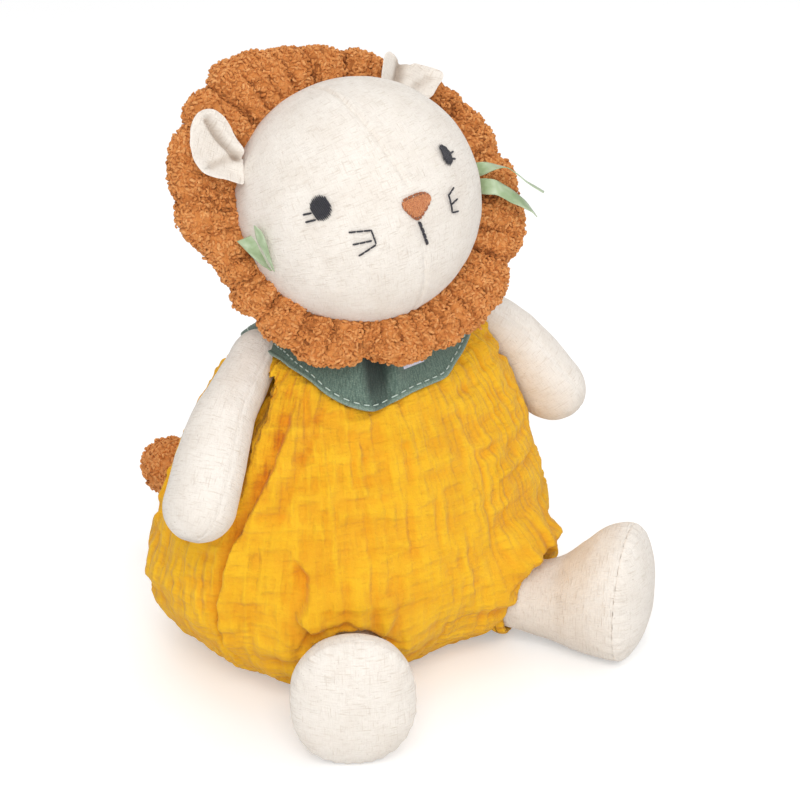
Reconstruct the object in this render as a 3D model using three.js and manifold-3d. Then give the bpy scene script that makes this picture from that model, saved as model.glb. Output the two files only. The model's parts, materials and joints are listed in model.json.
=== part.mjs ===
// Plush lion in a romper, seated, facing -Y with +Z up, in millimetres.
// The origin is the middle of the seat, on the ground. The lion's left side is at +X.
import * as THREE from 'three';
import Module from 'manifold-3d';
import { mergeVertices } from 'three/addons/utils/BufferGeometryUtils.js';

const wasm = await Module();
wasm.setup();

// Cloth and thread
const sewnGap = 0.3;
const linenWall = 1.2;
const muslinWall = 1.6;
const liningWall = 1;
const overrun = 40;

// Romper and body
const bodyHalfWidth = 93.5;
const bodyHalfDepth = 70;
const bodyHeight = 150;
const bodyLeanRight = 3;
const bodyLeanFront = 6;
const gatherDepth = 2.4;
const gatherCount = 12;
const bodySides = 32;
const bodyRings = 10;
const pressMargin = 2.6;
const pressStep = 0.25;

// Rows of height, half width and half depth, from the seat to the neck
const bodyProfileShares = [
  [0, 0.66, 0.64],
  [0.045, 0.78, 0.77],
  [0.11, 0.89, 0.89],
  [0.19, 0.97, 0.97],
  [0.28, 1, 1],
  [0.4, 0.963, 0.957],
  [0.53, 0.906, 0.875],
  [0.65, 0.85, 0.775],
  [0.745, 0.79, 0.675],
  [0.825, 0.72, 0.575],
  [0.89, 0.64, 0.485],
  [0.945, 0.53, 0.4],
  [0.98, 0.39, 0.315],
  [1, 0.17, 0.22],
];

// Pellet pouch that weights the seat
const pouchHalfWidth = 52;
const pouchHalfDepth = 38;
const pouchHeight = 22;

// Neckerchief
const scarfThickness = 1.8;
const scarfEase = 1.3;
const scarfNotch = 3;
const scarfRings = 4;
const scarfSides = 30;
const scarfTagSides = 3;
const scarfTagRings = 2;
const scarfTopShare = 0.985;
// Height of the lower edge at twelve angles, from the lion's left over the back
const scarfEdgeShares = [0.955, 0.935, 0.91, 0.9, 0.91, 0.935, 0.955, 0.925, 0.815, 0.83, 0.878, 0.925];
const scarfTagAngleShare = 0.753;
const scarfTagTopShare = 0.42;
const scarfTagFallShare = 0.155;
const scarfTagGirthShare = 0.55;
const scarfTagWidth = 9;
const scarfTagLength = 7;
const scarfTagThickness = 0.6;

// Neck
const neckRadius = 13;
const neckRight = 3;
const neckFront = 6;
const neckRise = 1;

// Head
const headHalfWidth = 50.5;
const headHalfDepth = 48;
const headHalfHeight = 49.5;
const headRight = 12;
const headFront = 18;
const headRise = 51;
const headTurn = THREE.MathUtils.degToRad(-9);
const headTilt = THREE.MathUtils.degToRad(-16.4);
const headLean = THREE.MathUtils.degToRad(-12.2);

// Mane
const maneTilt = THREE.MathUtils.degToRad(-12);
const maneSetBack = 8;
const maneDrop = 2;
const maneWidth = 25;
const maneThickness = 18;
const maneChestBend = 9.5;
const maneLobes = 16;
const stepsPerLobe = 4;
const maneSectionSides = 8;
const maneCreaseShare = 0.8;
// Width of the ring at sixteen angles, from the lion's left over the top
const maneWidthShares = [
  0.88, 0.87, 0.52, 0.6, 0.76, 1.06, 0.97, 0.86, 0.5, 0.63, 0.82, 0.66, 0.8, 0.93, 0.96, 1.12,
];

// Ears
const leftEarWidth = 25;
const rightEarWidth = 29;
const earEase = 0.8;
const earFoot = 3;
const earSink = 0.9;
const leftEarHeight = 15;
const rightEarHeight = 22;
const earThickness = 2.4;
const earCup = 6;
const earAngle = THREE.MathUtils.degToRad(42);
const smallTurn = THREE.MathUtils.degToRad(0.6);
const earFootShare = 0.62;
const earSwellShare = 0.8;
const earPointShare = 0.68;
const earTipCupShare = 0.4;
const earSides = 8;
const earRings = 6;

// Face: a place is a share of the head's half width, half depth and half height
const eyeWidth = 8.4;
const eyeHeight = 9.8;
const threadRelief = 0.9;
const threadWidth = 1.2;
const lashLength = 3.4;
const noseWidth = 11.4;
const noseHeight = 10.4;
const mouthLength = 11.5;
const whiskerLength = 7.6;
const whiskerSpread = 6;
const whiskerFan = 2;
const leftEyeShares = [0.473, 0.232];
const rightEyeShares = [-0.632, 0.217];
const noseHeightShare = -0.024;
const leftWhiskerShares = [0.3, -0.11];
const rightWhiskerShares = [-0.38, -0.12];
const noseRoundShare = 0.14;
const noseDropShare = 0.57;
const lashDropShares = [0.06, 0.31];
const lashStartShare = 0.2;
const lashSlantShare = 0.15;
const patchSides = 16;
const noseSides = 18;
const threadSides = 5;
const threadSteps = 4;
const shortThreadSteps = 2;

// Ribbon tabs
const ribbonWidth = 6.4;
const ribbonThickness = 0.5;
const ribbonLength = 29;
const ribbonRings = 14;
const ribbonLean = [0, -0.5, 0.87];
const ribbonRootAngle = THREE.MathUtils.degToRad(12);
// Two tails each side, from tip to root: shares of the length outward, upward and forward
const leftRibbonShares = [
  [0.8, -0.76, 0.14], [0.54, -0.15, 0.1], [0, 0, 0], [0.3, -0.3, 0.2], [0.52, -0.86, 0.24],
];
const rightRibbonShares = [
  [0.06, 0.7, 0.2], [0.04, 0.36, 0.12], [0, 0, 0], [0.25, 0.26, 0.16], [0.44, 0.56, 0.24],
];

// Arms
const armRootRadius = 10;
const shoulderOut = 51;
const shoulderFront = 3;
const shoulderDrop = 10;
const leftHandReach = 39;
const rightHandReach = 44;
const handFront = 24.6;
const handDrop = 45;
const armBow = 3;
const handHalfWidth = 17;
const handHalfThickness = 14;
const handTip = 16;
const armMouthRadius = 3.5;
const sleeveRoomShare = 0.3;
// Rows of the way along the arm, half width and half thickness of the hand
const armProfileShares = [
  [0.16, 0.64, 0.76],
  [0.36, 0.72, 0.82],
  [0.56, 0.84, 0.92],
  [0.76, 0.95, 0.98],
  [0.92, 1, 1],
];

// Legs
const hipRadius = 16;
const hipOut = 45;
const hipFront = 54;
const hipHeight = 21.5;
const legSplay = THREE.MathUtils.degToRad(34);
const leftLegLength = 50;
const rightLegLength = 46;
const rightFootShare = 0.94;
const footHalfWidth = 26.5;
const footHalfHeight = 29.3;
const footFlat = 0.5;
const soleThickness = 1.6;
const soleCrown = 11;
const soleRingShares = [0.92, 0.6];
// Rows of the way along the leg, half width, half height, and lift of the middle from hip to foot
const legProfileShares = [
  [0.24, 0.59, 0.56, -0.2],
  [0.42, 0.66, 0.63, -0.05],
  [0.6, 0.83, 0.81, 0.4],
  [0.78, 0.96, 0.95, 0.85],
  [0.92, 1, 1, 1],
  [1, 0.99, 0.995, 1],
];

// Leg cuffs
const cuffReach = 3.6;
const cuffBack = 7;
const cuffFrontOfHip = 1.5;
const cuffWall = 1.3;
const cuffRuffle = 0.9;
const cuffSides = 20;
const elasticWidth = 3;
const elasticThickness = 1;

// Tail
const tailRootRight = 6;
const tailRootHeight = 40;
const tailBallRadius = 6;
const tailStemRadius = 4.2;
const tailLength = 40;
const tailYaw = THREE.MathUtils.degToRad(29);
const pomRadius = 13.5;
const pomSeat = 9;

// How finely the forms are cut
const headSides = 32;
const headRings = 16;
const fillSides = 18;
const fillRings = 10;
const pouchSides = 18;
const pouchRings = 8;
const tailSides = 12;
const pomSides = 18;
const limbSides = 14;
const ballSides = 14;
const ballFacetShare = Math.cos(Math.PI / ballSides) ** 2;
const colours = {
  linen: 0xece4d8, muslin: 0xf2a91c, boucle: 0xc47a3c, scarf: 0x5f8272, ribbon: 0xa3bd95,
  black: 0x28262d, rust: 0xb86f3c, filling: 0xf4f2ee, elastic: 0xf0efe8, tag: 0xe9e7ee, lining: 0xe6ddd0,
};

// Solids from rings of points
function solidFrom(points, faces) {
  const geometry = new THREE.BufferGeometry();
  geometry.setAttribute('position', new THREE.Float32BufferAttribute(points.flatMap((p) => p.toArray()), 3));
  const a = new THREE.Vector3();
  const wedge = ([i, j, k]) => a.crossVectors(points[i], points[j]).dot(points[k]);
  const volume = faces.reduce((sum, face) => sum + wedge(face), 0);
  const turned = volume < 0 ? faces.map(([i, j, k]) => [i, k, j]) : faces;
  geometry.setIndex(turned.flat());
  return geometry;
}

// Joins rings of the same count one to the next; the ends close on poles, or the last ring on the first
function skinRings(rings, firstPole, lastPole) {
  const count = rings[0].length;
  const points = rings.flat();
  const faces = [];
  const open = Boolean(firstPole);
  const spans = open ? rings.length - 1 : rings.length;
  for (let r = 0; r < spans; r += 1) {
    const next = (r + 1) % rings.length;
    for (let i = 0; i < count; i += 1) {
      const j = (i + 1) % count;
      const [a, b, c, d] = [r * count + i, r * count + j, next * count + j, next * count + i];
      faces.push([a, b, c], [a, c, d]);
    }
  }
  if (open) {
    const first = points.push(firstPole) - 1;
    const last = points.push(lastPole) - 1;
    const end = (rings.length - 1) * count;
    for (let i = 0; i < count; i += 1) {
      const j = (i + 1) % count;
      faces.push([first, j, i], [last, end + i, end + j]);
    }
  }
  return solidFrom(points, faces);
}

// A thin solid along a surface: place(u, v) for u and v from 0 to 1, wrapped in u if it is a band
function sheetSolid(place, across, along, thickness, wrapped = false) {
  const step = 0.001;
  const columns = wrapped ? across : across + 1;
  const faces = [];
  const sides = [-1, 1].map((side) => {
    const grid = [];
    for (let v = 0; v <= along; v += 1) {
      for (let u = 0; u < columns; u += 1) {
        const [s, t] = [u / across, v / along];
        const middle = place(s, t);
        const du = place(s + step, t).sub(place(s - step, t));
        const dv = place(s, t + step).sub(place(s, t - step));
        grid.push(middle.addScaledVector(du.cross(dv).normalize(), (side * thickness) / 2));
      }
    }
    return grid;
  });
  const half = sides[0].length;
  const index = (u, v) => v * columns + (u % columns);
  for (let v = 0; v < along; v += 1) {
    for (let u = 0; u < across; u += 1) {
      const [a, b, c, d] = [index(u, v), index(u + 1, v), index(u + 1, v + 1), index(u, v + 1)];
      faces.push([a, c, b], [a, d, c], [half + a, half + b, half + c], [half + a, half + c, half + d]);
    }
  }
  for (let u = 0; u < across; u += 1) {
    const [a, b] = [index(u, 0), index(u + 1, 0)];
    const [c, d] = [index(u, along), index(u + 1, along)];
    faces.push([a, b, half + b], [a, half + b, half + a], [d, c, half + c], [d, half + c, half + d]);
  }
  for (let v = 0; v < along && !wrapped; v += 1) {
    const [a, b] = [index(0, v), index(0, v + 1)];
    const [c, d] = [index(across, v), index(across, v + 1)];
    faces.push([b, a, half + a], [b, half + a, half + b], [c, d, half + d], [c, half + d, half + c]);
  }
  return solidFrom(sides.flat(), faces);
}

// Joining and cutting
function toSolid(geometry) {
  const bare = geometry.clone();
  bare.deleteAttribute('normal');
  bare.deleteAttribute('uv');
  const merged = bare.index && !geometry.attributes.uv ? bare : mergeVertices(bare);
  return new wasm.Manifold(new wasm.Mesh({
    numProp: 3,
    vertProperties: new Float32Array(merged.attributes.position.array),
    triVerts: new Uint32Array(merged.index.array),
  }));
}

function toGeometry(solid) {
  const { vertProperties, triVerts } = solid.getMesh();
  const geometry = new THREE.BufferGeometry();
  geometry.setAttribute('position', new THREE.Float32BufferAttribute(vertProperties, 3));
  geometry.setIndex(Array.from(triVerts));
  return geometry;
}

const cut = (geometry, ...tools) => toGeometry(tools.reduce((solid, tool) => solid.subtract(toSolid(tool)),
  toSolid(geometry)));
const join = (first, ...rest) => toGeometry(rest.reduce((solid, piece) => solid.add(toSolid(piece)),
  toSolid(first)));

function ballAt(centre, radius, sides = ballSides) {
  return new THREE.SphereGeometry(radius, sides, sides / 2).translate(centre.x, centre.y, centre.z);
}

// Room for a ball: its facets stay outside the ball and the gap about it
const socketAt = (centre, radius) => ballAt(centre, (radius + sewnGap) / ballFacetShare);

function ellipsoid(halfWidth, halfDepth, halfHeight, sides, rows) {
  return new THREE.SphereGeometry(1, sides, rows)
    .rotateX(Math.PI / 2)
    .scale(halfWidth, halfDepth, halfHeight);
}

const groundCut = new THREE.BoxGeometry(bodyHeight * 4, bodyHeight * 4, overrun)
  .translate(0, 0, -overrun / 2);

// A round bar that runs along a way, from a start on it
function pipeAlong(way, radius, length, sides, start) {
  const turn = new THREE.Quaternion().setFromUnitVectors(new THREE.Vector3(0, 1, 0), way);
  return new THREE.CylinderGeometry(radius, radius, length, sides)
    .translate(0, length / 2 + start, 0)
    .applyQuaternion(turn);
}

// Places that several pieces share
const shoulderHeight = bodyHeight - shoulderDrop;
const neckPlace = new THREE.Vector3(-neckRight, -neckFront, bodyHeight + neckRise);
const headPlace = new THREE.Vector3(-headRight, -headFront, bodyHeight + headRise);
const shoulder = (side) => new THREE.Vector3(side * shoulderOut, -shoulderFront, shoulderHeight);
const handReach = (side) => (side > 0 ? leftHandReach : rightHandReach);
const hand = (side) => new THREE.Vector3(side * (shoulderOut + handReach(side)), -handFront,
  shoulderHeight - handDrop);
const hip = (side) => new THREE.Vector3(side * hipOut, -hipFront, hipHeight);
const legWay = (side) => new THREE.Vector3(side * Math.sin(legSplay), -Math.cos(legSplay), 0);
const upward = new THREE.Vector3(0, 0, 1);
const legLength = (side) => (side > 0 ? leftLegLength : rightLegLength);
const footShare = (side) => (side > 0 ? 1 : rightFootShare);

// A ring of an ellipse whose two half axes are given as vectors
function ovalRing(centre, halfAcross, halfUp, sides) {
  return Array.from({ length: sides }, (_, i) => {
    const angle = (i / sides) * 2 * Math.PI;
    return centre.clone()
      .addScaledVector(halfAcross, Math.cos(angle))
      .addScaledVector(halfUp, Math.sin(angle));
  });
}

// Arms: a ball in the shoulder seam, then a sleeve that widens into the hand
function armCurve(side) {
  const [from, to] = [shoulder(side), hand(side)];
  const middle = from.clone().lerp(to, 0.5);
  middle.x += side * armBow;
  middle.z += armBow;
  return new THREE.CatmullRomCurve3([from, middle, to]);
}

function armRings(side, inset) {
  const curve = armCurve(side);
  const rings = [];
  const ring = (centre, along, halfWidth, halfThickness) => {
    const across = new THREE.Vector3().crossVectors(along, new THREE.Vector3(side, 0, 0)).normalize();
    const outward = new THREE.Vector3().crossVectors(across, along).normalize();
    across.multiplyScalar(halfWidth);
    outward.multiplyScalar(halfThickness);
    rings.push(ovalRing(centre, across, outward, limbSides));
  };
  const [from, start] = [curve.getPoint(0), curve.getTangent(0)];
  const root = armRootRadius - inset;
  const mouth = Math.asin(Math.min(1, armMouthRadius / root));
  const rootAngles = [mouth, (mouth * 2 + Math.PI / 2) / 3, (mouth + Math.PI) / 3, Math.PI / 2];
  rootAngles.forEach((angle) => {
    const centre = from.clone().addScaledVector(start, -root * Math.cos(angle));
    ring(centre, start, root * Math.sin(angle), root * Math.sin(angle));
  });
  armProfileShares.forEach(([way, width, thickness]) => {
    ring(curve.getPoint(way), curve.getTangent(way), handHalfWidth * width - inset,
      handHalfThickness * thickness - inset);
  });
  const [end, last] = [curve.getPoint(1), curve.getTangent(1)];
  [0, 1 / 3, 2 / 3].forEach((turn) => {
    const angle = (turn * Math.PI) / 2;
    ring(end.clone().addScaledVector(last, (handTip - inset) * Math.sin(angle)), last,
      (handHalfWidth - inset) * Math.cos(angle), (handHalfThickness - inset) * Math.cos(angle));
  });
  const tip = end.clone().addScaledVector(last, handTip - inset);
  const mouthCentre = from.clone().addScaledVector(start, -root * Math.cos(mouth));
  return { rings, tip, mouthCentre };
}

function armSkin(side) {
  const outer = armRings(side, 0);
  const inner = armRings(side, linenWall);
  return skinRings([...outer.rings.reverse(), ...inner.rings], outer.tip, inner.tip);
}

function armSolid(side, inset) {
  const { rings, tip, mouthCentre } = armRings(side, inset);
  return skinRings(rings, mouthCentre, tip);
}

// Legs: a ball in the hip seam, a narrow ankle and a tall flared foot with its sole turned forward
function legRings(side, inset) {
  const way = legWay(side);
  const across = new THREE.Vector3().crossVectors(way, upward);
  const root = hipRadius - inset;
  const [footWidth, footHeight] = [footHalfWidth * footShare(side), footHalfHeight * footShare(side)];
  const lift = footHeight - footFlat - hipHeight;
  const ring = (along, rise, halfWidth, halfHeight) => ovalRing(
    hip(side).addScaledVector(way, along).addScaledVector(upward, rise),
    across.clone().multiplyScalar(halfWidth), upward.clone().multiplyScalar(halfHeight), limbSides,
  );
  const rings = [1 / 4, 1 / 2, 3 / 4, 1].map((turn) => {
    const angle = (turn * Math.PI) / 2;
    return ring(-root * Math.cos(angle), 0, root * Math.sin(angle), root * Math.sin(angle));
  });
  legProfileShares.forEach(([along, width, height, rise]) => {
    rings.push(ring(legLength(side) * along, lift * rise, footWidth * width - inset,
      footHeight * height - inset));
  });
  return { rings, pole: hip(side).addScaledVector(way, -root), rim: rings.length - 1 };
}

function legSkin(side) {
  const outer = legRings(side, 0);
  const inner = legRings(side, linenWall);
  return cut(skinRings([...outer.rings, ...inner.rings.reverse()], outer.pole, inner.pole), groundCut);
}

function legStuffing(side) {
  const { rings, pole } = legRings(side, linenWall + sewnGap);
  const rim = rings[rings.length - 1];
  const centre = rim.reduce((sum, p) => sum.add(p), new THREE.Vector3()).divideScalar(rim.length);
  return skinRings(rings, pole, centre);
}

function legSole(side) {
  const way = legWay(side);
  const across = new THREE.Vector3().crossVectors(way, upward);
  const [, width, height] = legProfileShares[legProfileShares.length - 1];
  const [footWidth, footHeight] = [footHalfWidth * footShare(side), footHalfHeight * footShare(side)];
  const centre = hip(side).addScaledVector(way, legLength(side) + sewnGap);
  centre.z = footHeight - footFlat;
  const ring = (forward, share) => ovalRing(centre.clone().addScaledVector(way, forward),
    across.clone().multiplyScalar(footWidth * width * share),
    upward.clone().multiplyScalar(footHeight * height * share), limbSides);
  const crown = (share) => soleThickness + soleCrown * (1 - share * share);
  const crowned = soleRingShares.map((share) => ring(crown(share), share));
  const rings = [ring(0, 1), ring(soleThickness / 2, 1), ...crowned];
  return cut(skinRings(rings, centre.clone(), centre.clone().addScaledVector(way, crown(0))), groundCut);
}

// Body: an oval bell that swells to the seat, pressed in under the arms
const bodyCurve = new THREE.CatmullRomCurve3(bodyProfileShares.map(([height, width, depth]) => (
  new THREE.Vector3(bodyHalfWidth * width, bodyHalfDepth * depth, bodyHeight * height))));

// Place along the profile at which the bell reaches a share of the body's height
function profileAt(heightShare) {
  let [low, high] = [0, 1];
  for (let i = 0; i < 30; i += 1) {
    const middle = (low + high) / 2;
    [low, high] = bodyCurve.getPoint(middle).z < heightShare * bodyHeight ? [middle, high] : [low, middle];
  }
  return low;
}

function armReach(side, point) {
  const samples = 12;
  const curve = armCurve(side);
  let nearest = Infinity;
  for (let i = 0; i <= samples; i += 1) {
    const way = i / samples;
    const radius = THREE.MathUtils.lerp(armRootRadius, handHalfWidth, way);
    nearest = Math.min(nearest, curve.getPoint(way).distanceTo(point) - radius);
  }
  return nearest;
}

function bodyPoint(share, angle, inset, fold = 0, pressed = true) {
  const half = bodyCurve.getPoint(share);
  const slope = bodyCurve.getTangent(share);
  const [c, s] = [Math.cos(angle), Math.sin(angle)];
  const [acrossX, acrossY] = [Math.hypot(slope.x, slope.z), Math.hypot(slope.y, slope.z)];
  const drop = inset * ((slope.x / acrossX) * c * c + (slope.y / acrossY) * s * s);
  const lean = (half.z / bodyHeight) ** 3;
  const centre = new THREE.Vector3(-bodyLeanRight * lean, -bodyLeanFront * lean, 0);
  const point = centre.clone().add(new THREE.Vector3(
    (half.x - (inset * slope.z) / acrossX + fold) * c,
    (half.y - (inset * slope.z) / acrossY + fold) * s,
    Math.max(half.z + drop, inset),
  ));
  return point.addScaledVector(centre.sub(point).setZ(0).normalize(), pressed ? pressAt(share, angle) : 0);
}

// Depth to which the arm that hangs beside a place of the bell presses it in
function pressAt(share, angle) {
  const point = bodyPoint(share, angle, 0, 0, false);
  if (point.z > shoulderHeight - armRootRadius) return 0;
  const inward = point.clone().setZ(0).normalize().negate();
  const side = Math.sign(Math.cos(angle)) || 1;
  let depth = 0;
  while (armReach(side, point) < pressMargin) {
    point.addScaledVector(inward, pressStep);
    depth += pressStep;
  }
  return depth;
}

// Gathers run up the bell, deepest a third of the way up, and fade out at the seat and the neck
function gather(share, angle) {
  const fade = Math.sin(Math.PI * Math.min(1, share * 1.15)) ** 2;
  return gatherDepth * fade * (0.5 + 0.5 * Math.cos(angle * gatherCount));
}

function bodyRingsAt(inset, folded = false) {
  return Array.from({ length: bodyRings + 1 }, (_, r) => {
    const share = r / bodyRings;
    return Array.from({ length: bodySides }, (_, i) => {
      const angle = (i / bodySides) * 2 * Math.PI;
      return bodyPoint(share, angle, inset, folded ? gather(share, angle) : 0);
    });
  });
}

// Room for the first stretch of the sleeve below the shoulder ball
function sleeveRoom(side) {
  const curve = armCurve(side);
  const [from, to] = [curve.getPoint(0), curve.getPoint(sleeveRoomShare)];
  const length = from.distanceTo(to);
  const radius = (armRootRadius + pressMargin) / Math.cos(Math.PI / limbSides);
  return pipeAlong(to.sub(from).normalize(), radius, length, limbSides, 0).translate(...from.toArray());
}

const neckRoom = socketAt(neckPlace, neckRadius);
const tailRoot = new THREE.Vector3(-tailRootRight, 0, tailRootHeight);
tailRoot.y = bodyPoint(profileAt(tailRootHeight / bodyHeight), Math.PI / 2, 0).y - sewnGap;
const sockets = [1, -1].flatMap((side) => [
  socketAt(shoulder(side), armRootRadius),
  socketAt(hip(side), hipRadius),
  sleeveRoom(side),
]).concat(neckRoom, socketAt(tailRoot, tailBallRadius));

// Bores in the romper and its lining that the cuffs stand in
function cuffRoom(side) {
  const outer = (hipRadius + cuffReach + cuffRuffle + sewnGap) / Math.cos(Math.PI / cuffSides);
  const length = cuffBack + sewnGap + overrun;
  return pipeAlong(legWay(side), outer, length, cuffSides, -cuffBack - sewnGap)
    .translate(...hip(side).toArray());
}

const cuffRooms = [cuffRoom(1), cuffRoom(-1)];

function bodySolid(inset, folded = false) {
  const rings = bodyRingsAt(inset, folded);
  const neck = new THREE.Vector3(-bodyLeanRight, -bodyLeanFront, bodyPoint(1, 0, inset).z);
  return skinRings(rings, new THREE.Vector3(0, 0, inset), neck);
}

const bodyShell = (inset, wall, folded = false) => cut(bodySolid(inset, folded), bodySolid(inset + wall),
  ...sockets, ...cuffRooms);

const liningInset = muslinWall + sewnGap;
const fillingInset = liningInset + liningWall + sewnGap;

function pouchSolid(growth) {
  const middle = fillingInset + pouchHeight / 2;
  const halves = [pouchHalfWidth, pouchHalfDepth, pouchHeight / 2].map((half) => half + growth);
  return ellipsoid(...halves, pouchSides, pouchRings).translate(0, 0, middle);
}

const bodyStuffing = () => cut(bodySolid(fillingInset), ...sockets, ...cuffRooms, pouchSolid(sewnGap));

// Leg cuffs: a gathered ring with a channel inside it, and the elastic that lies in the channel
function ringAbout(side, profile, ruffle) {
  const way = legWay(side);
  const across = new THREE.Vector3().crossVectors(way, upward);
  const sections = Array.from({ length: cuffSides }, (_, i) => {
    const angle = (i / cuffSides) * 2 * Math.PI;
    const swell = ruffle * (i % 2);
    const out = across.clone().multiplyScalar(Math.cos(angle)).addScaledVector(upward, Math.sin(angle));
    return profile.map(([along, radius, puffed]) => hip(side).addScaledVector(way, along)
      .addScaledVector(out, radius + (puffed ? swell : 0)));
  });
  return skinRings(sections);
}

const cuffBore = hipRadius + sewnGap * 2;

function legCuff(side) {
  const [back, front] = [-cuffBack, cuffFrontOfHip];
  const middle = (back + front) / 2;
  const channel = elasticWidth / 2 + sewnGap;
  const outer = hipRadius + cuffReach;
  const floor = cuffBore + elasticThickness + sewnGap * 2;
  return ringAbout(side, [
    [back, cuffBore, false], [back, outer - cuffWall, true], [back + cuffWall, outer, true],
    [front - cuffWall, outer, true], [front, outer - cuffWall, true], [front, cuffBore, false],
    [middle + channel, cuffBore, false], [middle + channel, floor, false],
    [middle - channel, floor, false], [middle - channel, cuffBore, false],
  ], cuffRuffle);
}

function legElastic(side) {
  const middle = (cuffFrontOfHip - cuffBack) / 2;
  const half = elasticWidth / 2;
  const [inner, outer] = [cuffBore + sewnGap, cuffBore + sewnGap + elasticThickness];
  return ringAbout(side, [[middle - half, inner], [middle - half, outer], [middle + half, outer],
    [middle + half, inner]], 0);
}

// Value of a closed row of shares part of the way round
function shareAround(shares, way) {
  const place = way * shares.length;
  const from = Math.floor(place) % shares.length;
  const mix = THREE.MathUtils.smoothstep(place % 1, 0, 1);
  return THREE.MathUtils.lerp(shares[from], shares[(from + 1) % shares.length], mix);
}

// Neckerchief: a band that lies on the shoulders and hangs lowest in front
function scarfPlace(u, v, lift) {
  const edge = shareAround(scarfEdgeShares, ((u % 1) + 1) % 1);
  return bodyPoint(profileAt(THREE.MathUtils.lerp(scarfTopShare, edge, v)), u * 2 * Math.PI, -lift);
}

const scarfLift = scarfEase + scarfThickness / 2;

function neckerchief() {
  const place = (u, v) => scarfPlace(u, v, scarfLift);
  const band = sheetSolid(place, scarfSides, scarfRings, scarfThickness, true);
  return cut(band, ...[1, -1].map((side) => socketAt(shoulder(side), armRootRadius + scarfNotch)));
}

function scarfTag() {
  const lift = scarfLift + scarfThickness / 2 + sewnGap + scarfTagThickness / 2;
  const girth = bodyHalfWidth * 2 * Math.PI * scarfTagGirthShare;
  const fall = bodyHeight * scarfTagFallShare;
  return sheetSolid((u, v) => scarfPlace(scarfTagAngleShare + ((u - 0.5) * scarfTagWidth) / girth,
    scarfTagTopShare + (v * scarfTagLength) / fall, lift), scarfTagSides, scarfTagRings, scarfTagThickness);
}

// Head pieces, in the head's own frame: the face looks along -Y
function onHead(x, z, lift) {
  const y = -Math.sqrt(Math.max(0, 1 - (x / headHalfWidth) ** 2 - (z / headHalfHeight) ** 2)) * headHalfDepth;
  const normal = new THREE.Vector3(x / headHalfWidth ** 2, y / headHalfDepth ** 2, z / headHalfHeight ** 2);
  return new THREE.Vector3(x, y, z).addScaledVector(normal.normalize(), lift);
}

// A flat patch of stitches that follows the face; outline(angle) gives its half size each way
function stitchedPatch(x, z, outline, sides) {
  const seat = sewnGap;
  const slant = onHead(x, z, 1).sub(onHead(x, z, 0)).y ** 2;
  const ring = (share, lift) => Array.from({ length: sides }, (_, i) => {
    const [dx, dz] = outline((i / sides) * 2 * Math.PI);
    return onHead(x + dx * share * Math.sqrt(slant), z + dz * share, lift);
  });
  const top = seat + threadRelief;
  const rings = [ring(0.5, seat), ring(1, seat), ring(1, seat + threadRelief / 2), ring(0.6, top)];
  return skinRings(rings, onHead(x, z, seat), onHead(x, z, top));
}

// One line of thread on the face from one place to another
function threadLine([x0, z0], [x1, z1], steps) {
  const radius = threadWidth / 2;
  const lift = sewnGap + radius;
  const lifted = (t, rise) => onHead(THREE.MathUtils.lerp(x0, x1, t), THREE.MathUtils.lerp(z0, z1, t), rise);
  const place = (t) => lifted(t, lift);
  const rings = Array.from({ length: steps + 1 }, (_, i) => {
    const t = i / steps;
    const along = place(1).sub(place(0)).normalize();
    const out = place(t).sub(lifted(t, 0)).normalize();
    const across = new THREE.Vector3().crossVectors(along, out).normalize();
    return ovalRing(place(t), across.multiplyScalar(radius), out.multiplyScalar(radius), threadSides);
  });
  return skinRings(rings, place(0), place(1));
}

function eye(side) {
  const shares = side > 0 ? leftEyeShares : rightEyeShares;
  const [x, z] = [headHalfWidth * shares[0], headHalfHeight * shares[1]];
  const patch = stitchedPatch(x, z, (angle) => (
    [(eyeWidth / 2) * Math.cos(angle), (eyeHeight / 2) * Math.sin(angle)]), patchSides);
  const lashes = lashDropShares.map((drop, row) => {
    const height = z - eyeHeight * drop;
    const inner = x + side * eyeWidth * lashStartShare;
    const fall = row * lashLength * lashSlantShare;
    return threadLine([inner, height], [inner + side * lashLength, height - fall], shortThreadSteps);
  });
  return join(patch, ...lashes);
}

// The nose is a triangle with round corners, its point down
function nose() {
  return stitchedPatch(0, headHalfHeight * noseHeightShare, (angle) => {
    const round = 1 + noseRoundShare * Math.cos(3 * (angle + Math.PI / 2));
    return [(noseWidth / 2) * round * Math.cos(angle), (noseHeight / 2) * round * Math.sin(angle)];
  }, noseSides);
}

const mouthTop = headHalfHeight * noseHeightShare - noseHeight * noseDropShare - threadWidth;
const mouth = () => threadLine([0, mouthTop], [0, mouthTop - mouthLength], threadSteps);

function whiskers(side) {
  const shares = side > 0 ? leftWhiskerShares : rightWhiskerShares;
  const [x, z] = [headHalfWidth * shares[0], headHalfHeight * shares[1]];
  const half = whiskerSpread / 2;
  const tip = x + side * whiskerLength;
  const starts = [[half, whiskerFan], [-half, whiskerFan], [-half, -whiskerFan]];
  const rows = starts.map(([from, rise]) => (
    threadLine([x, z + from], [tip, z + from + rise], shortThreadSteps)));
  return join(threadLine([x, z + half], [x, z - half], shortThreadSteps), ...rows);
}

const headSolid = (growth, sides, rows) => ellipsoid(headHalfWidth + growth, headHalfDepth + growth,
  headHalfHeight + growth, sides, rows);
const intoHead = new THREE.Matrix4().compose(headPlace,
  new THREE.Quaternion().setFromEuler(new THREE.Euler(headTilt, headLean, headTurn, 'ZXY')),
  new THREE.Vector3(1, 1, 1));
const neckRoomInHead = neckRoom.clone().applyMatrix4(intoHead.clone().invert());
const headFilling = (growth) => headSolid(growth, fillSides, fillRings);
const headBag = () => cut(headSolid(0, headSides, headRings), headFilling(-linenWall), neckRoomInHead);
const headStuffing = () => cut(headFilling(-linenWall - sewnGap), neckRoomInHead);

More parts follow.
